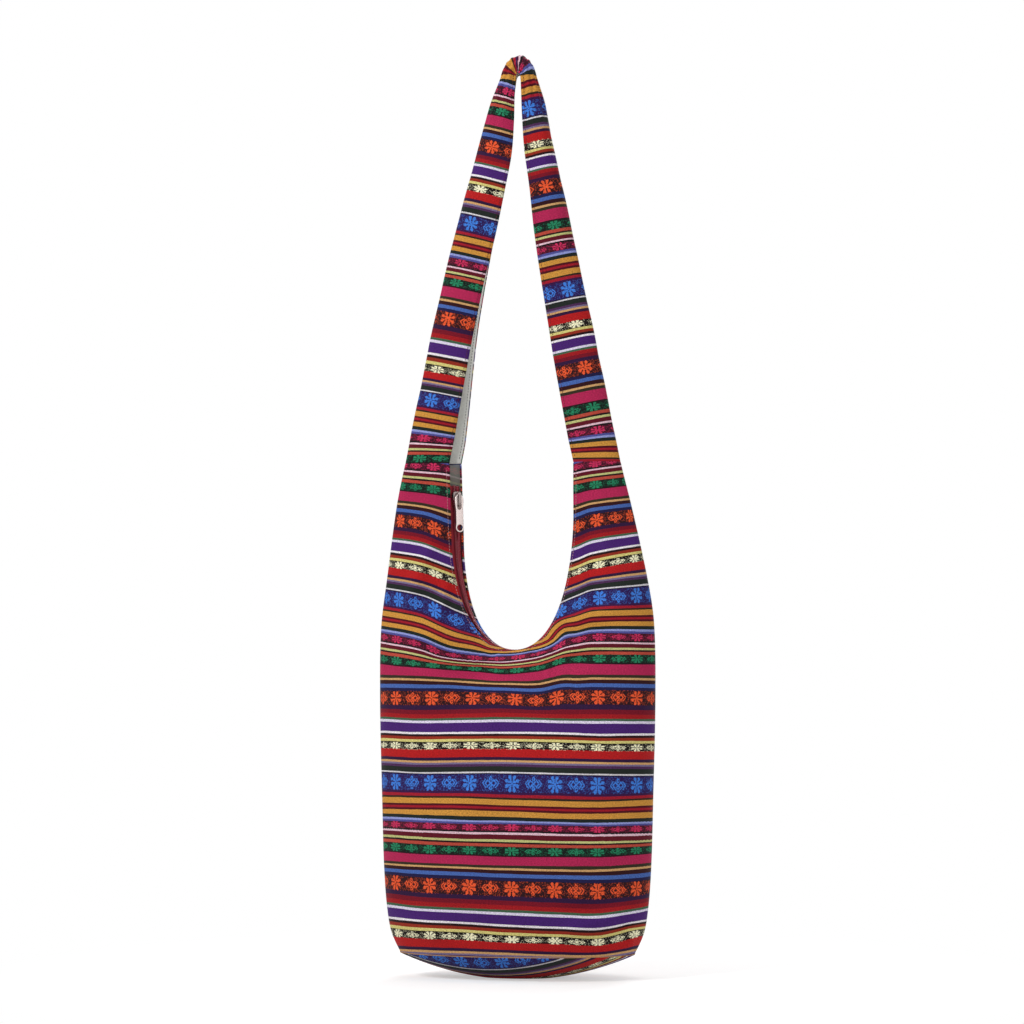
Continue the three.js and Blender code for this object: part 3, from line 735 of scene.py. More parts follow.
def fill_ramp(ramp, stops):
    """Gives a colour ramp its stops, each level up to the next."""
    ramp.color_ramp.interpolation = "CONSTANT"
    elements = ramp.color_ramp.elements
    elements.remove(elements[-1])
    for k, (place, colour) in enumerate(stops):
        element = elements.new(place) if k else elements[0]
        element.position = place
        element.color = (*colour, 1)


def shaded(tree, colour, tone, *span):
    """A colour made lighter and darker by a noise. span is the noise's from and to, and the factor's."""
    factor = node(tree, "MapRange", tone, *span)
    return node(tree, "VectorMath", colour, sockets={"Scale": factor}, operation="SCALE").outputs[0]


def flowers(from_big, from_small, y):
    """A 1 where the flowers' threads show. y is -1 to 1 up their row, and the others are millimetres.

    Big flowers have eight petals round a cross. Small ones stand half way between them, and have two
    petals round a diamond and two chevrons on each side.
    """
    x, high, wide = from_big / BIG_HALF, abs(y), abs(from_small / SMALL_HALF)
    r = (x * x + y * y)("SQRT")
    petal = (y("ARCTAN2", x) * 8.0)("COSINE") * -1.0
    petals = (r < petal * 0.12 + 0.93) * (r > 0.26) * (petal > r * -0.55 - 0.12)
    cross = (abs(abs(x) - high) < 0.11) * (r < 0.42)
    diamond = (abs(wide - high) < 0.12) * (wide + high < 0.6)
    beside, above = wide * 1.5, high - 0.55
    from_leaf = beside * beside + above * above
    leaves = (from_leaf < 0.085) * (from_leaf > 0.012)
    slope = high * 0.75 + wide
    chevrons = (abs(slope - 0.66) < 0.1)("MAXIMUM", abs(slope - 0.98) < 0.08) * (high < 0.5) * (wide > 0.3)
    small = diamond("MAXIMUM", leaves)("MAXIMUM", chevrons)
    return petals("MAXIMUM", cross)("MAXIMUM", small)


# Drawn coarser than real threads, so that they show: the flowers' threads and the weave's, in millimetres
FLOWER_THREAD, WARP, WEFT = 0.8, 0.45, 0.4
# From one big flower to the next, where its middle falls, and how far past its flowers a row's colour goes
FLOWER_REPEAT, FLOWER_MIDDLE, ROW_MARGIN = 45.8, 22.5, 1.5
# Half the width of a big flower and of a small one with its chevrons
BIG_HALF, SMALL_HALF = 7.8, 8.8


def cloth_material(name, reverse=None):
    """Jacquard-woven cotton. Matt, with a faint sheen, uneven threads, and flowers a few threads wide."""
    material, tree = new_material(name)
    threads = node(tree, "UVMap", uv_map="threads")
    u, v, _ = (Sum(tree, socket) for socket in node(tree, "SeparateXYZ", threads).outputs)
    # The weft wavers along its length, so the stripes' edges aren't ruled lines
    waver = node(tree, "TexNoise", node(tree, "Mapping", threads, sockets={"Scale": (0.05, 0.9, 1.0)}),
                 sockets={"Scale": 1.0, "Detail": 1.0})
    place = ((v + (Sum(tree, waver) * 0.7 - 0.35)) / STRIPE_REPEAT)("FRACT")
    split = RAMP_SPLIT / STRIPE_REPEAT
    ramps = []
    for value, start, end in ((place / split, 0.0, RAMP_SPLIT),
                              ((place - split) / (1 - split), RAMP_SPLIT, STRIPE_REPEAT)):
        ramps.append(node(tree, "ValToRGB", value))
        fill_ramp(ramps[-1], [((at - start) / (end - start), linear(code))
                              for at, code in STRIPES if start <= at < end])
    stripes = node(tree, "Mix", place > split, data_type="RGBA", sockets={MIX_A: ramps[0], MIX_B: ramps[1]})
    # Of each row of flowers, one ramp gives the middle, the half height and a 1, and one the colour
    rows, colours = [(0.0, (0, 1, 0))], [(0.0, (0, 0, 0))]
    for start, end, code in FLOWER_ROWS:
        middle, half = (start + end) / 2 / STRIPE_REPEAT, (end - start) / 2 / STRIPE_REPEAT
        begin, over = (start - ROW_MARGIN) / STRIPE_REPEAT, (end + ROW_MARGIN) / STRIPE_REPEAT
        rows += [(begin, (middle, half, 1)), (over, (0, 1, 0))]
        colours += [(begin, linear(code)), (over, (0, 0, 0))]
    thread_u, thread_v = u("SNAP", FLOWER_THREAD), v("SNAP", FLOWER_THREAD)
    thread_place = (thread_v / STRIPE_REPEAT)("FRACT")
    row_ramp = node(tree, "ValToRGB", thread_place)
    fill_ramp(row_ramp, rows)
    flower_colour = node(tree, "ValToRGB", thread_place)
    fill_ramp(flower_colour, colours)
    middle, half, has_row = node(tree, "SeparateColor", row_ramp).outputs
    y = (thread_place - middle) / half
    from_big = (thread_u + FLOWER_REPEAT / 2)("WRAP", FLOWER_REPEAT, 0.0) - FLOWER_MIDDLE
    from_small = thread_u("WRAP", FLOWER_REPEAT, 0.0) - FLOWER_MIDDLE
    # A few threads show faintly in between, as dots
    threads_met = node(tree, "CombineXYZ", thread_u, thread_v)
    dots = Sum(tree, node(tree, "TexWhiteNoise", threads_met, noise_dimensions="2D").outputs["Value"])
    shown = flowers(from_big, from_small, y)("MAXIMUM", (dots > 0.78) * 0.38) * (abs(y) < 1.0) * has_row
    pattern = node(tree, "Mix", shown, data_type="RGBA",
                   sockets={MIX_A: stripes.outputs[MIX_RESULT], MIX_B: flower_colour})
    # Each thread takes the dye a little differently, and the crossing warp shows as fine dark specks.
    speck = node(tree, "TexNoise", node(tree, "Mapping", threads, sockets={"Scale": (0.55, 1.3, 1.0)}),
                 sockets={"Scale": 1.0, "Detail": 3.0, "Roughness": 0.7})
    colour = shaded(tree, pattern.outputs[MIX_RESULT], speck, 0.3, 0.7, 0.56, 1.66)
    if reverse:
        # On the reverse the pattern's threads lie loose and pale over the ground
        mixed = node(tree, "Mix", 0.7, data_type="RGBA", sockets={MIX_A: colour, MIX_B: (*reverse, 1)})
        colour = mixed.outputs[MIX_RESULT]
    weave = u("PINGPONG", WARP) * v("PINGPONG", WEFT) * 3.0 + speck
    bump = node(tree, "Bump", sockets={"Strength": 0.5, "Distance": 0.0003, "Height": weave})
    node(tree, "OutputMaterial", node(tree, "BsdfPrincipled", sockets={
        "Base Color": colour, "Roughness": 0.88, "Normal": bump, "Sheen Weight": 0.04,
        "Specular IOR Level": 0.16}))
    return material


def thread_material(name, colour):
    """Spun polyester sewing thread: a soft sheen along fine twisted strands."""
    material, tree = new_material(name)
    place = node(tree, "TexCoord").outputs["Object"]
    grain = node(tree, "TexNoise", place, sockets={"Scale": 900.0})
    node(tree, "OutputMaterial", node(tree, "BsdfPrincipled", sockets={
        "Base Color": shaded(tree, colour, grain, 0, 1, 0.75, 1.2), "Roughness": 0.8,
        "Sheen Weight": 0.1, "Specular IOR Level": 0.3}))
    return material


def plain_cloth_material(name, colour, rib=0.0):
    """Plain-woven cotton, or the ribbed twill of a zip's tape: matt, with the threads just visible."""
    material, tree = new_material(name)
    threads = node(tree, "UVMap", uv_map="threads")
    u, v, _ = (Sum(tree, socket) for socket in node(tree, "SeparateXYZ", threads).outputs)
    grain = node(tree, "TexNoise", node(tree, "Mapping", threads, sockets={"Scale": (0.8, 1.6, 1.0)}),
                 sockets={"Scale": 1.0, "Detail": 3.0})
    height = u("PINGPONG", WARP) * v("PINGPONG", WARP) * 3.0 + u("PINGPONG", 0.6) * rib + grain
    bump = node(tree, "Bump", sockets={"Strength": 0.4, "Distance": 0.0003, "Height": height})
    node(tree, "OutputMaterial", node(tree, "BsdfPrincipled", sockets={
        "Base Color": shaded(tree, colour, grain, 0.3, 0.7, 0.86, 1.12), "Roughness": 0.9, "Normal": bump,
        "Sheen Weight": 0.1, "Specular IOR Level": 0.25}))
    return material


def metal_material(name, colour, roughness):
    """Nickel-plated die-cast zinc: bright, a little worn, with fine rub marks."""
    material, tree = new_material(name)
    place = node(tree, "TexCoord").outputs["Object"]
    marks = node(tree, "TexNoise", place, sockets={"Scale": 400.0, "Detail": 4.0})
    rough = node(tree, "MapRange", marks, 0, 1, roughness * 0.85, roughness * 1.25)
    node(tree, "OutputMaterial", node(tree, "BsdfPrincipled", sockets={
        "Base Color": (*colour, 1), "Roughness": rough, "Metallic": 1.0}))
    return material


def nylon_material(name, colour):
    """Extruded nylon monofilament, dyed: smooth and slightly glossy."""
    material, tree = new_material(name)
    place = node(tree, "TexCoord").outputs["Object"]
    tone = node(tree, "TexNoise", place, sockets={"Scale": 500.0})
    node(tree, "OutputMaterial", node(tree, "BsdfPrincipled", sockets={
        "Base Color": shaded(tree, colour, tone, 0, 1, 0.8, 1.2), "Roughness": 0.42}))
    return material


def length_property(name, description, default, least, most):
    return bpy.props.FloatProperty(
        name=name, description=description, unit="LENGTH", default=default, min=least, max=most)


class BagSizes(bpy.types.PropertyGroup):
    """Sizes that a user may change. The frame gives the others."""

    swell_depth: length_property(
        "Swell depth", "Depth of the soft unevenness of the stuffed cloth", 0.0042, 0.0, 0.008)
    stitch_pitch: length_property(
        "Stitch pitch", "Distance from one stitch to the next", 0.0032, 0.0015, 0.008)
    stitch_length: length_property(
        "Stitch length", "Length of thread that shows in one stitch", 0.0023, 0.001, 0.006)
    thread_radius: length_property(
        "Thread radius", "Half the thickness of the sewing thread", 0.00032, 0.0001, 0.001)
    coil_pitch: length_property(
        "Coil pitch", "Distance from one turn of the zip's coil to the next", 0.0017, 0.001, 0.004)


def colour_property(name, description, code):
    return bpy.props.FloatVectorProperty(
        name=name, description=description, subtype="COLOR", size=3, min=0.0, max=1.0, default=linear(code))


class BagColours(bpy.types.PropertyGroup):
    """Colours that a user may change. The striped cloth's own are a table of its threads."""

    lining: colour_property("Lining", "Colour of the strap's cotton lining", "#F0F0EA")
    cloth_reverse: colour_property("Cloth reverse", "Colour of the loose threads on the reverse", "#C4C4BA")
    tape: colour_property("Zip tape", "Colour of the zip's woven tapes", "#9A2836")
    coil: colour_property("Zip coil", "Colour of the zip's nylon coils", "#A8404E")
    metal: colour_property("Metal", "Colour of the slider's and the pull's plating", "#A89C99")
    hem_thread: colour_property("Hem thread", "Colour of the stitches beside the zip", "#B88A8C")
    strap_thread: colour_property("Strap thread", "Colour of the stitches on the strap", "#5A1A22")
    lining_thread: colour_property("Lining thread", "Colour of the stitches on the lining", "#4E4C4A")
    seam_cord: colour_property("Seam cord", "Colour of the cord in the base seam", "#B58A5C")
    light: colour_property("Light", "Colour of the studio lamps", "#FFFFFF")


def sweep(shape, path, across, radius, sides):
    """A round thread or wire along a path, closed at both ends. across is a direction beside it."""
    ring = bmesh.ops.create_circle(shape, cap_ends=True, segments=sides, radius=radius)["verts"]

    def placed(k):
        ahead, behind = path[min(k + 1, len(path) - 1)], path[max(k - 1, 0)]
        direction = (ahead - behind).normalized()
        side = (across - direction * across.dot(direction)).normalized()
        basis = Matrix((side, direction.cross(side), direction)).transposed().to_4x4()
        return Matrix.Translation(path[k]) @ basis

    matrix = placed(0)
    bmesh.ops.transform(shape, matrix=matrix, verts=ring)
    face = next(f for f in ring[0].link_faces if len(f.verts) == sides)
    for k in range(1, len(path)):
        made = bmesh.ops.extrude_discrete_faces(shape, faces=[face])["faces"]
        face = made[0]
        target = placed(k)
        bmesh.ops.transform(shape, matrix=target @ matrix.inverted(), verts=list(face.verts))
        matrix = target
    bmesh.ops.recalc_face_normals(shape, faces=shape.faces)


def repeated(template, places):
    """One mesh with a copy of the template at each place."""
    pattern = bpy.data.meshes.new("template")
    template.to_mesh(pattern)
    count = len(template.verts)
    template.free()
    shape = bmesh.new()
    for matrix in places:
        shape.from_mesh(pattern)
        shape.verts.ensure_lookup_table()
        bmesh.ops.transform(shape, matrix=matrix, verts=shape.verts[-count:])
    bpy.data.meshes.remove(pattern)
    return shape


def basis_at(place, x, y, z):
    return Matrix.Translation(place) @ Matrix((x, y, z)).transposed().to_4x4()


def stitches(name, path, outwards, sizes, material):
    """A row of stitches along a path of points, sunk a little into the cloth below them."""
    reached = reached_along(path)
    pitch, length, radius = sizes.stitch_pitch / MM, sizes.stitch_length / MM, sizes.thread_radius / MM
    places = []
    k = 0
    place = pitch / 2
    while place < reached[-1]:
        while reached[k + 1] < place:
            k += 1
        part = (place - reached[k]) / (reached[k + 1] - reached[k])
        along = (path[k + 1] - path[k]).normalized()
        side = along.cross(outwards[k].lerp(outwards[k + 1], part)).normalized()
        places.append(basis_at(path[k].lerp(path[k + 1], part), side, along.cross(side), along))
        place += pitch
    template = bmesh.new()
    bmesh.ops.create_uvsphere(template, u_segments=6, v_segments=6, radius=1.0)
    bmesh.ops.scale(template, vec=(radius, radius, length / 2), verts=template.verts)
    return make_object(name, repeated(template, places), "bag", [material])


# The cloths' thickness, a little less than their solids', which keeps them clear of each other, and how
# far the lining lies below the strap
BODY_WALL, STRAP_WALL, LINING_WALL, LINING_BELOW, TAPE_WALL = 1.36, 0.9, 0.8, 1.5, 0.64
# How deep the edges turn in: at the horns' tops and on the strap, and at the zip and the outer edge
SEAM_TURN, HEM_TURN = 1.0, 3.0
# Cloth coordinates from one point of a grid to the next, in millimetres, on the lining and on the tapes
LINING_SPACING, TAPE_ACROSS, TAPE_ALONG = 2.4, 1.8, 2.3


class BAG_OT_body(bpy.types.Operator):
    """Sews the front, the back and the base from striped cloth"""

    bl_idname = "bag.body"
    bl_label = "Body cloth"

    def execute(self, context):
        sizes, colours = context.scene.bag_sizes, context.scene.bag_colours
        cloth = [cloth_material("jacquard_cotton"),
                 cloth_material("jacquard_cotton_reverse", reverse=tuple(colours.cloth_reverse))]
        for side, face in (("front", -1), ("back", 1)):
            grid = turned_in(panel_grid(face, sizes), face, SEAM_TURN, sides=(False, False))
            grid = turned_in(grid, face, HEM_TURN, ends=False)
            places = [[body_threads(point) for point in line] for line in grid]
            shape = grid_shape(grid, face, lambda i, j, middle, places=places: places[i][j])
            piece = make_object(f"{side}_cloth", shape, "bag", cloth, [f"{side}_panel"])
            thicken(piece, BODY_WALL, reverse=True)
        grid = turned_in(base_grid(), 1, HEM_TURN, ends=False, sides=(False, True))
        shape = grid_shape(grid, 1, lambda i, j, middle: base_threads(grid[i][j]))
        bmesh.ops.remove_doubles(shape, verts=shape.verts, dist=0.01)
        bmesh.ops.recalc_face_normals(shape, faces=shape.faces)
        if sum(f.normal.z for f in shape.faces) > 0:
            bmesh.ops.reverse_faces(shape, faces=shape.faces)
        piece = make_object("base_cloth", shape, "bag", cloth, ["base_panel"])
        thicken(piece, BODY_WALL, reverse=True)
        return {"FINISHED"}


class BAG_OT_strap(bpy.types.Operator):
    """Folds the striped strap lengthwise round its grey cotton lining"""

    bl_idname = "bag.strap"
    bl_label = "Strap"

    def execute(self, context):
        cloth = [bpy.data.materials["jacquard_cotton"], bpy.data.materials["jacquard_cotton_reverse"]]
        lining = plain_cloth_material("plain_cotton_lining", tuple(context.scene.bag_colours.lining))
        sections = strap_sections()
        grid = strap_grid(sections)
        shape = grid_shape(turned_in(grid, 1, SEAM_TURN), 1, strap_threads(sections))
        piece = make_object("strap_cloth", shape, "bag", cloth, ["strap_face"])
        thicken(piece, STRAP_WALL, reverse=True)
        inner = [[point - normal_at(grid, i, j) * LINING_BELOW for j, point in enumerate(line)]
                 for i, line in enumerate(grid)]
        shape = grid_shape(inner, -1, lambda i, j, middle: (j * LINING_SPACING, i * LINING_SPACING))
        piece = make_object("strap_lining_cloth", shape, "bag", [lining], ["strap_lining"])
        thicken(piece, LINING_WALL)
        return {"FINISHED"}


# The zip starts and ends this far down the mouth's line. Its tapes start this far from its middle, and
# follow the panel's slope over this much of it.
ZIP_START, TAPE_STEPS, TAPE_EDGE, TAPE_SLOPE = 24.0, 260, 1.1, 6.6
# One turn of the coil's wire, from its tail on the tape round its head: across, along the zip, outwards
COIL_TURN = ((3.3, -0.3, -0.75), (1.4, -0.2, -0.8), (-0.2, -0.1, -0.6), (-0.75, 0, 0), (-0.2, 0.1, 0.6),
             (1.4, 0.2, 0.8), (3.3, 0.45, 0.75))
WIRE_RADIUS = 0.4
# Where the slider travels, the heads of the turns stand back from its web: how far, and the width left
PARTED_TO, PARTED_BLEND, PARTED_BACK, PARTED_WIDTH = 80.0, 8.0, 1.076, 0.674


class BAG_OT_zip(bpy.types.Operator):
    """Lays the zip's two tapes and winds its two coils"""

    bl_idname = "bag.zip"
    bl_label = "Zip"

    def execute(self, context):
        sizes, colours = context.scene.bag_sizes, context.scene.bag_colours
        tape_cloth = plain_cloth_material("polyester_twill_tape", tuple(colours.tape), rib=1.5)
        nylon = nylon_material("dyed_nylon_coil", tuple(colours.coil))
        start = ZIP_START / MOUTH_LENGTH
        turns = int((1 - 2 * start) * MOUTH_LENGTH / (sizes.coil_pitch / MM))
        for side, face in (("front", -1), ("back", 1)):
            grid = []
            for k in range(TAPE_STEPS + 1):
                share = lerp(start, 1 - start, k / TAPE_STEPS)
                middle, along, across, out = zip_frame(share)
                edge = panel_point(face, share, 0)
                run = (outer_edge(share) - edge).length
                fall = (panel_point(face, share, TAPE_SLOPE / run) - edge).normalized()
                outwards = along.cross(fall).normalized() * face
                lap = edge + fall * TAPE_LAP - outwards * ((CLOTH + TAPE) / 2 + SEWN_GAP)
                near = middle + across * (face * TAPE_EDGE) - out * TAPE_DEPTH
                bend = middle + across * (face * (COIL_OUTER + TAPE_BEND)) - out * TAPE_DEPTH
                turn = bend + across * (face * 2.0) - out * 0.5
                grid.append([near, near.lerp(bend, 0.35), near.lerp(bend, 0.7), bend]
                            + [bezier(bend, turn, turn.lerp(lap, 0.5), lap, q / 4) for q in (1, 2, 3, 4)])
            shape = grid_shape(grid, -face, lambda i, j, middle: (j * TAPE_ACROSS, i * TAPE_ALONG))
            piece = make_object(f"tape_{side}", shape, "bag", [tape_cloth], [f"zip_tape_{side}"])
            thicken(piece, TAPE_WALL)
            template = bmesh.new()
            wire = [Vector((face * x, y, z)) for x, y, z in COIL_TURN]
            sweep(template, wire, Vector((0, 1, 0)), WIRE_RADIUS, 5)
            places = []
            for k in range(turns):
                share = lerp(start, 1 - start, (k + (0.5 if face > 0 else 0.0)) / turns)
                middle, along, across, out = zip_frame(share)
                parted = 1 - smooth((share * MOUTH_LENGTH - PARTED_TO) / PARTED_BLEND)
                places.append(basis_at(middle + across * (face * PARTED_BACK * parted),
                                       across * lerp(1, PARTED_WIDTH, parted), along, out))
            make_object(f"coil_{side}", repeated(template, places), "bag", [nylon],
                        [f"zip_coil_{side}"])
        return {"FINISHED"}


def plate(shape, outlines, front, back, bevel):
    """A flat metal plate with rounded edges, from an outline and its holes, drawn in X and Z."""
    edges = []
    for outline in outlines:
        verts = [shape.verts.new((x, front, z)) for x, z in outline]
        edges += [shape.edges.new((a, b)) for a, b in zip(verts, verts[1:] + verts[:1])]
    filled = bmesh.ops.triangle_fill(shape, use_beauty=True, use_dissolve=False, edges=edges)["geom"]
    faces = [f for f in filled if isinstance(f, bmesh.types.BMFace)]
    made = bmesh.ops.extrude_face_region(shape, geom=faces)["geom"]
    moved = [v for v in made if isinstance(v, bmesh.types.BMVert)]
    bmesh.ops.translate(shape, vec=(0, back - front, 0), verts=moved)
    verts = {*moved, *(v for f in faces for v in f.verts)}
    bmesh.ops.recalc_face_normals(shape, faces=[f for f in shape.faces if verts.issuperset(f.verts)])
    sharp = [e for e in shape.edges if verts.issuperset(e.verts) and len(e.link_faces) == 2
             and e.calc_face_angle(0) > math.radians(50)]
    bmesh.ops.bevel(shape, geom=sharp, offset=bevel, offset_type="OFFSET", affect="EDGES", segments=3,
                    profile=0.5, material=-1, clamp_overlap=True)


def mirrored(right):
    """A whole outline from its right half, top to bottom."""
    return right + [(-x, z) for x, z in reversed(right)]


def arc(x, z, radius, start, end, count):
    """Points on an arc, in degrees from +X towards +Z."""
    angles = [math.radians(lerp(start, end, i / count)) for i in range(count + 1)]
    return [(x + radius * math.cos(a), z + radius * math.sin(a)) for a in angles]


# The slider's place below the horn's top, and its plate. Its parts are drawn with X across the zip, Y away
# from the viewer and Z up along it.
SLIDER_BELOW, SLIDER_HALF = ZIP_START + 16, 9.5
PLATE_FRONT, PLATE_BACK = -3.2, -1.6
SLIDER_WALL = ((5.4, 6.6), (5.4, 1.4), (5.2, -0.6), (4.35, -3.0), (4.3, -7.4), (3.95, -7.4), (3.92, -2.8),
               (3.95, 0.4), (3.95, 6.6))
WEB = ((-0.22, 3.7), (0.22, 3.7), (0.22, 9.2), (-0.22, 9.2))
# The bridge from its side, as (Z, Y): a bar that leaves the plate low down, runs over the pull's bar and
# comes back above it
BRIDGE_FOOT = PLATE_FRONT + 0.3
BRIDGE = ((-6.9, BRIDGE_FOOT), (-6.5, -5.4), (-5.2, -7.4), (-3.2, -8.1), (5.6, -8.1), (7.6, -7.2),
          (8.5, -5.2), (8.6, BRIDGE_FOOT), (7.2, BRIDGE_FOOT), (7.1, -5.4), (6.2, -6.8), (-3.6, -6.8),
          (-5.1, -5.2), (-5.3, BRIDGE_FOOT))
ON_ITS_SIDE = Matrix(((0, 1, 0), (1, 0, 0), (0, 0, -1)))
# The pull's right edge from its hinge down to the round end, and where the hinge is on the slider
PULL_EDGE = ((0.0, 0.9), (2.4, 0.75), (4.0, -0.2), (5.0, -2.2), (5.4, -5.0), (5.35, -7.4), (5.0, -10.0),
             (4.6, -12.6), (4.35, -15.0), (4.3, -17.0), (4.3, -30.8), (4.6, -32.2), (4.95, -33.8))
PULL_END = -35.0
HINGE_OUT, HINGE_UP, PULL_TWIST = 5.3, 4.9, -9.0


def slider_outline(inset=0.0):
    """The slider's plate from the front: wide shoulders, a narrower tail and round corners."""
    top, tail, half = 5.5 - inset, 4.35 - inset, SLIDER_HALF - inset
    shoulder, foot = arc(top - 2.4, half - 2.4, 2.4, 90, 0, 6), arc(tail - 2, -half + 2, 2, 0, -90, 6)
    waist = [(top, 1.5), (top - 0.2, -0.4), (tail + 0.25, -2.6), (tail, -4.6)]
    return mirrored(shoulder + waist + foot)


class BAG_OT_slider(bpy.types.Operator):
    """Casts the zip's slider and stamps its pull"""

    bl_idname = "bag.slider"
    bl_label = "Slider and pull"

    def execute(self, context):
        metal = metal_material("nickel_plated_zinc", tuple(context.scene.bag_colours.metal), 0.26)
        middle, along, across, out = zip_frame(SLIDER_BELOW / MOUTH_LENGTH)
        matrix = basis_at(middle, across, -out, -along)
        slider = bmesh.new()
        plate(slider, [[(y, -z) for z, y in BRIDGE]], -1.2, 1.2, 0.45)
        bmesh.ops.transform(slider, matrix=ON_ITS_SIDE.to_4x4(), verts=slider.verts)
        plate(slider, [slider_outline()], PLATE_FRONT, PLATE_BACK, 0.5)
        for side in (-1, 1):
            plate(slider, [[(side * x, z) for x, z in SLIDER_WALL]], PLATE_BACK - 0.3, 1.15, 0.15)
        plate(slider, [[(x * 0.7, z * 0.93) for x, z in slider_outline(0.2)]], 2.75, 4.0, 0.3)
        plate(slider, [WEB], PLATE_FRONT + 0.4, 3.2, 0.06)
        bmesh.ops.transform(slider, matrix=matrix, verts=slider.verts)

        pull = bmesh.new()
        right = [*PULL_EDGE, *arc(0, PULL_END, 5.0, 0, -82, 10)]
        outline = [*right, (0.0, PULL_END - 5.0), *((-x, z) for x, z in reversed(right[1:]))]
        window = [(2.6, -0.9), (2.6, -6.0), (2.6, -12.5), *arc(0, -12.5, 2.6, -15, -165, 10),
                  (-2.6, -12.5), (-2.6, -6.0), (-2.6, -0.9)]
        plate(pull, [outline, window, arc(0, PULL_END, 3.4, 0, 345, 23)], -0.8, 0.8, 0.35)
        hinge = (Matrix.Translation((0, -HINGE_OUT, HINGE_UP))
                 @ Matrix.Rotation(math.radians(PULL_TWIST), 4, "Z"))
        bmesh.ops.transform(pull, matrix=matrix @ hinge, verts=pull.verts)
        for name, shape in (("slider", slider), ("pull", pull)):
            piece = make_object(name, shape, name, [metal], [f"zip_{name}"])
            piece.modifiers.new("even shading", "WEIGHTED_NORMAL")
        return {"FINISHED"}


# How far the rows of stitches run from the edges beside the zip and along the strap, and the cord's radius
HEM_ROW, STRAP_ROW, SEAM_CORD_RADIUS = 2.6, 2.4, 0.55


def row_beside_zip(face, lift):
    """A path on the panel beside the zip, a set distance from its edge, and the way out of the cloth."""
    path, outwards = [], []
    start, steps = 6 / MOUTH_LENGTH, 300
    for k in range(steps + 1):
        share = lerp(start, 1 - start, k / steps)
        edge, outer = panel_point(face, share, 0), outer_edge(share)
        t = HEM_ROW / (outer - edge).length
        point = panel_point(face, share, t)
        along = zip_frame(share)[1]
        normal = along.cross((panel_point(face, share, t + 0.01) - point).normalized()).normalized() * face
        path.append(point + normal * lift)
        outwards.append(normal)
    return path, outwards


def row_on_strap(grid, near):
    """Points a set distance from one edge of the strap, and the way out of the cloth at each."""
    points, normals = [], []
    for i in range(2, len(grid) - 2):
        line = grid[i] if near else grid[i][::-1]
        reach, j = 0.0, 0
        while reach + (line[j + 1] - line[j]).length < STRAP_ROW:
            reach += (line[j + 1] - line[j]).length
            j += 1
        part = (STRAP_ROW - reach) / (line[j + 1] - line[j]).length
        points.append(line[j].lerp(line[j + 1], part))
        normals.append(normal_at(grid, i, j if near else len(line) - 1 - j))
    return points, normals


class BAG_OT_stitching(bpy.types.Operator):
    """Runs the rows of topstitching and the cord in the base seam"""

    bl_idname = "bag.stitching"
    bl_label = "Stitching"

    def execute(self, context):
        sizes, colours = context.scene.bag_sizes, context.scene.bag_colours
        rose = thread_material("polyester_thread_rose", tuple(colours.hem_thread))
        grey = thread_material("polyester_thread_grey", tuple(colours.lining_thread))
        maroon = thread_material("polyester_thread_maroon", tuple(colours.strap_thread))
        sides = (("front", -1), ("back", 1))
        for side, face in sides:
            path, outwards = row_beside_zip(face, BODY_WALL / 2 + 0.1)
            stitches(f"hem_stitches_{side}", path, outwards, sizes, rose)
        grid = strap_grid(strap_sections())
        for side, face in sides:
            points, normals = row_on_strap(grid, face < 0)
            outside = [point + normal * 0.5 for point, normal in zip(points, normals)]
            inside = [point - normal * (LINING_BELOW + 0.45) for point, normal in zip(points, normals)]
            stitches(f"strap_stitches_{side}", outside, normals, sizes, maroon)
            stitches(f"lining_stitches_{side}", inside, [-n for n in normals], sizes, grey)
        drawn = drawn_in(BASE_SEAM)
        wide, deep = half_width(BASE_SEAM) * drawn + 0.7, half_depth(BASE_SEAM) * drawn + 0.7
        path = [Vector((wide * math.cos(a), deep * math.sin(a), BASE_SEAM - 0.4))
                for a in (2 * math.pi * k / 200 for k in range(201))]
        shape = bmesh.new()
        sweep(shape, path, Vector((0, 0, 1)), SEAM_CORD_RADIUS, 6)
        tan = thread_material("cotton_seam_cord", tuple(colours.seam_cord))
        make_object("base_seam_cord", shape, "bag", [tan])
        return {"FINISHED"}


# The lamps: place in metres, size, and power
LAMPS = {"key": ((-1.8, -1.7, 2.3), 1.0, 52), "fill": ((2.2, -1.8, 1.0), 1.5, 17),
         "top": ((0.0, 0.5, 2.6), 1.5, 20), "rear": ((0.6, 2.4, 1.4), 1.6, 30)}
LAMPS_AIM = Vector((0, 0, 0.45))
# The camera's aim and the width of what it sees there, in metres, and its sensor's width
CAMERA_AIM, VIEW_WIDTH, SENSOR = Vector((-0.0055, 0, 0.504)), 1.116, 36


def seen_as_background(tree):
    """A 1 for rays from the camera, off shiny metal or through glass, which show the plain white."""
    path = node(tree, "LightPath").outputs
    sees = node(tree, "Math", path["Is Camera Ray"], path["Is Glossy Ray"], operation="MAXIMUM")
    return node(tree, "Math", sees, path["Is Transmission Ray"], operation="MAXIMUM")


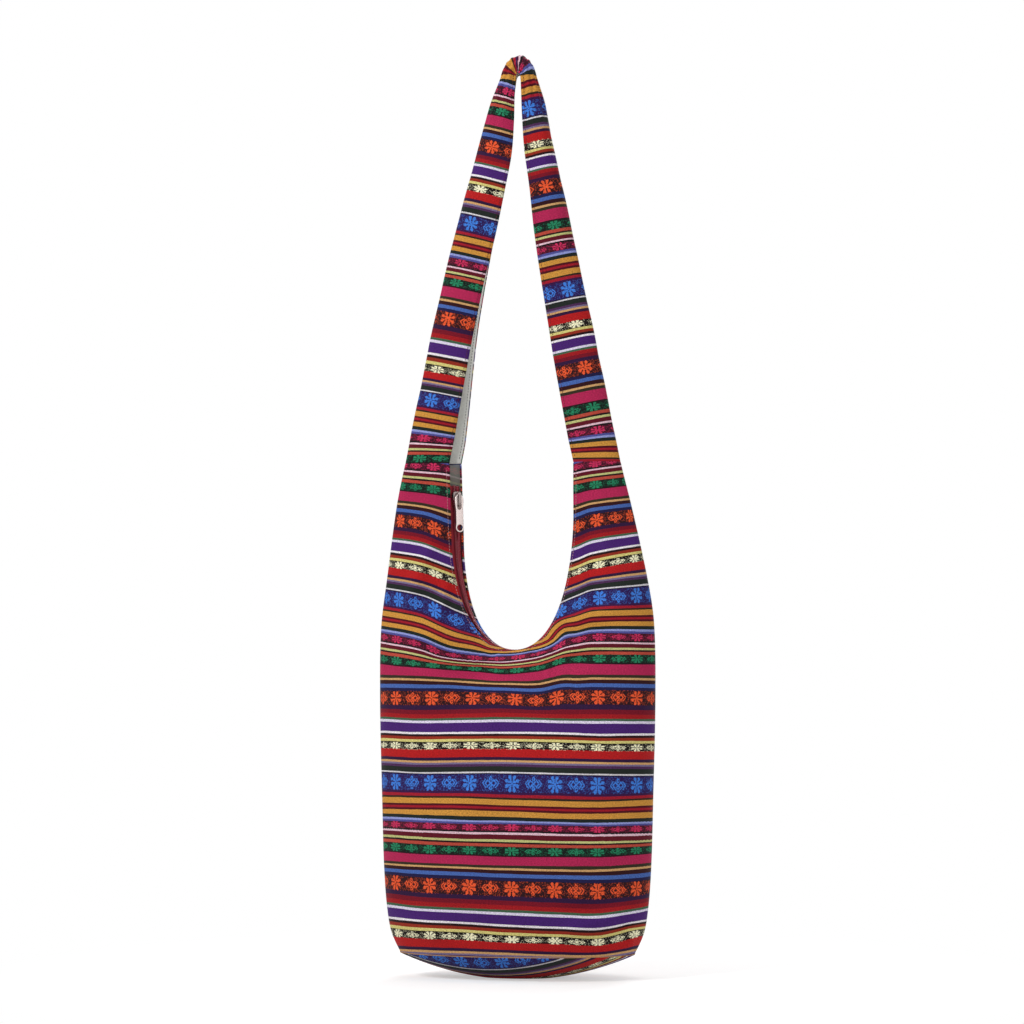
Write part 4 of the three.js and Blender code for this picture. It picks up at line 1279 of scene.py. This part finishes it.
class BAG_OT_stage(bpy.types.Operator):
    """Sets the white floor, the soft lamps and the camera"""

    bl_idname = "bag.stage"
    bl_label = "Stage"

    def execute(self, context):
        scene = context.scene
        scene.view_settings.view_transform = "Standard"
        shape = bmesh.new()
        bmesh.ops.create_grid(shape, x_segments=1, y_segments=1, size=8.0)
        mesh = bpy.data.meshes.new("floor")
        shape.to_mesh(mesh)
        shape.free()
        floor = bpy.data.objects.new("floor", mesh)
        scene.collection.objects.link(floor)
        # Paper that keeps the bag's soft shadow near it and is plain white further out
        material, tree = new_material("white_studio_paper")
        diffuse = node(tree, "BsdfDiffuse", (0.72, 0.72, 0.72, 1))
        glow = node(tree, "Emission", (1, 1, 1, 1), 0.44)
        white = node(tree, "Emission", (1, 1, 1, 1), 1.0)
        place = node(tree, "TexCoord").outputs["Object"]
        reach = node(tree, "VectorMath", place, operation="LENGTH").outputs["Value"]
        far = node(tree, "MapRange", reach, 0.22, 0.6, interpolation_type="SMOOTHSTEP")
        shown = node(tree, "MixShader", far, node(tree, "AddShader", diffuse, glow), white)
        node(tree, "OutputMaterial", node(tree, "MixShader", seen_as_background(tree), diffuse, shown))
        mesh.materials.append(material)

        scene.world = bpy.data.worlds.new("studio")
        scene.world.use_nodes = True
        tree = scene.world.node_tree
        tree.nodes.clear()
        dim = node(tree, "Background", (1, 1, 1, 1), 0.28)
        white = node(tree, "Background", (1, 1, 1, 1), 1.0)
        node(tree, "OutputWorld", node(tree, "MixShader", seen_as_background(tree), dim, white))

        for name, (place, size, power) in LAMPS.items():
            lamp = bpy.data.lights.new(name, "AREA")
            lamp.size = size
            lamp.energy = power
            lamp.color = scene.bag_colours.light
            light = bpy.data.objects.new(name, lamp)
            light.location = place
            light.rotation_mode = "QUATERNION"
            light.rotation_quaternion = (LAMPS_AIM - Vector(place)).to_track_quat("-Z", "Y")
            scene.collection.objects.link(light)
        camera = bpy.data.objects.new("camera", bpy.data.cameras.new("camera"))
        turn, distance = math.radians(CAMERA_TURN), CAMERA_DISTANCE * MM
        camera.location = Vector((CAMERA_AIM.x + distance * math.sin(turn), -distance * math.cos(turn),
                                  CAMERA_HEIGHT * MM))
        camera.rotation_mode = "QUATERNION"
        camera.rotation_quaternion = (CAMERA_AIM - camera.location).to_track_quat("-Z", "Y")
        camera.data.sensor_width = SENSOR
        camera.data.lens = SENSOR * distance / VIEW_WIDTH
        scene.collection.objects.link(camera)
        scene.camera = camera
        return {"FINISHED"}


OPERATORS = (BAG_OT_body, BAG_OT_strap, BAG_OT_zip, BAG_OT_slider, BAG_OT_stitching, BAG_OT_stage)


class BAG_PT_panel(bpy.types.Panel):
    """Lists the bag's pieces, its sizes and its colours"""

    bl_idname = "BAG_PT_panel"
    bl_label = "Sling bag"
    bl_space_type = "VIEW_3D"
    bl_region_type = "UI"
    bl_category = "Sling bag"

    def draw(self, context):
        for group in (context.scene.bag_sizes, context.scene.bag_colours):
            for name in group.bl_rna.properties.keys():
                if name not in ("rna_type", "name"):
                    self.layout.prop(group, name)
        for operator in OPERATORS:
            self.layout.operator(operator.bl_idname)


CLASSES = (BagSizes, BagColours, *OPERATORS, BAG_PT_panel)


def register():
    for each in CLASSES:
        bpy.utils.register_class(each)
    bpy.types.Scene.bag_sizes = bpy.props.PointerProperty(type=BagSizes)
    bpy.types.Scene.bag_colours = bpy.props.PointerProperty(type=BagColours)


def unregister():
    del bpy.types.Scene.bag_colours
    del bpy.types.Scene.bag_sizes
    for each in reversed(CLASSES):
        bpy.utils.unregister_class(each)


def main():
    register()
    bpy.ops.bag.body()
    bpy.ops.bag.strap()
    bpy.ops.bag.zip()
    bpy.ops.bag.slider()
    bpy.ops.bag.stitching()
    bpy.ops.bag.stage()


if __name__ == "__main__":
    main()
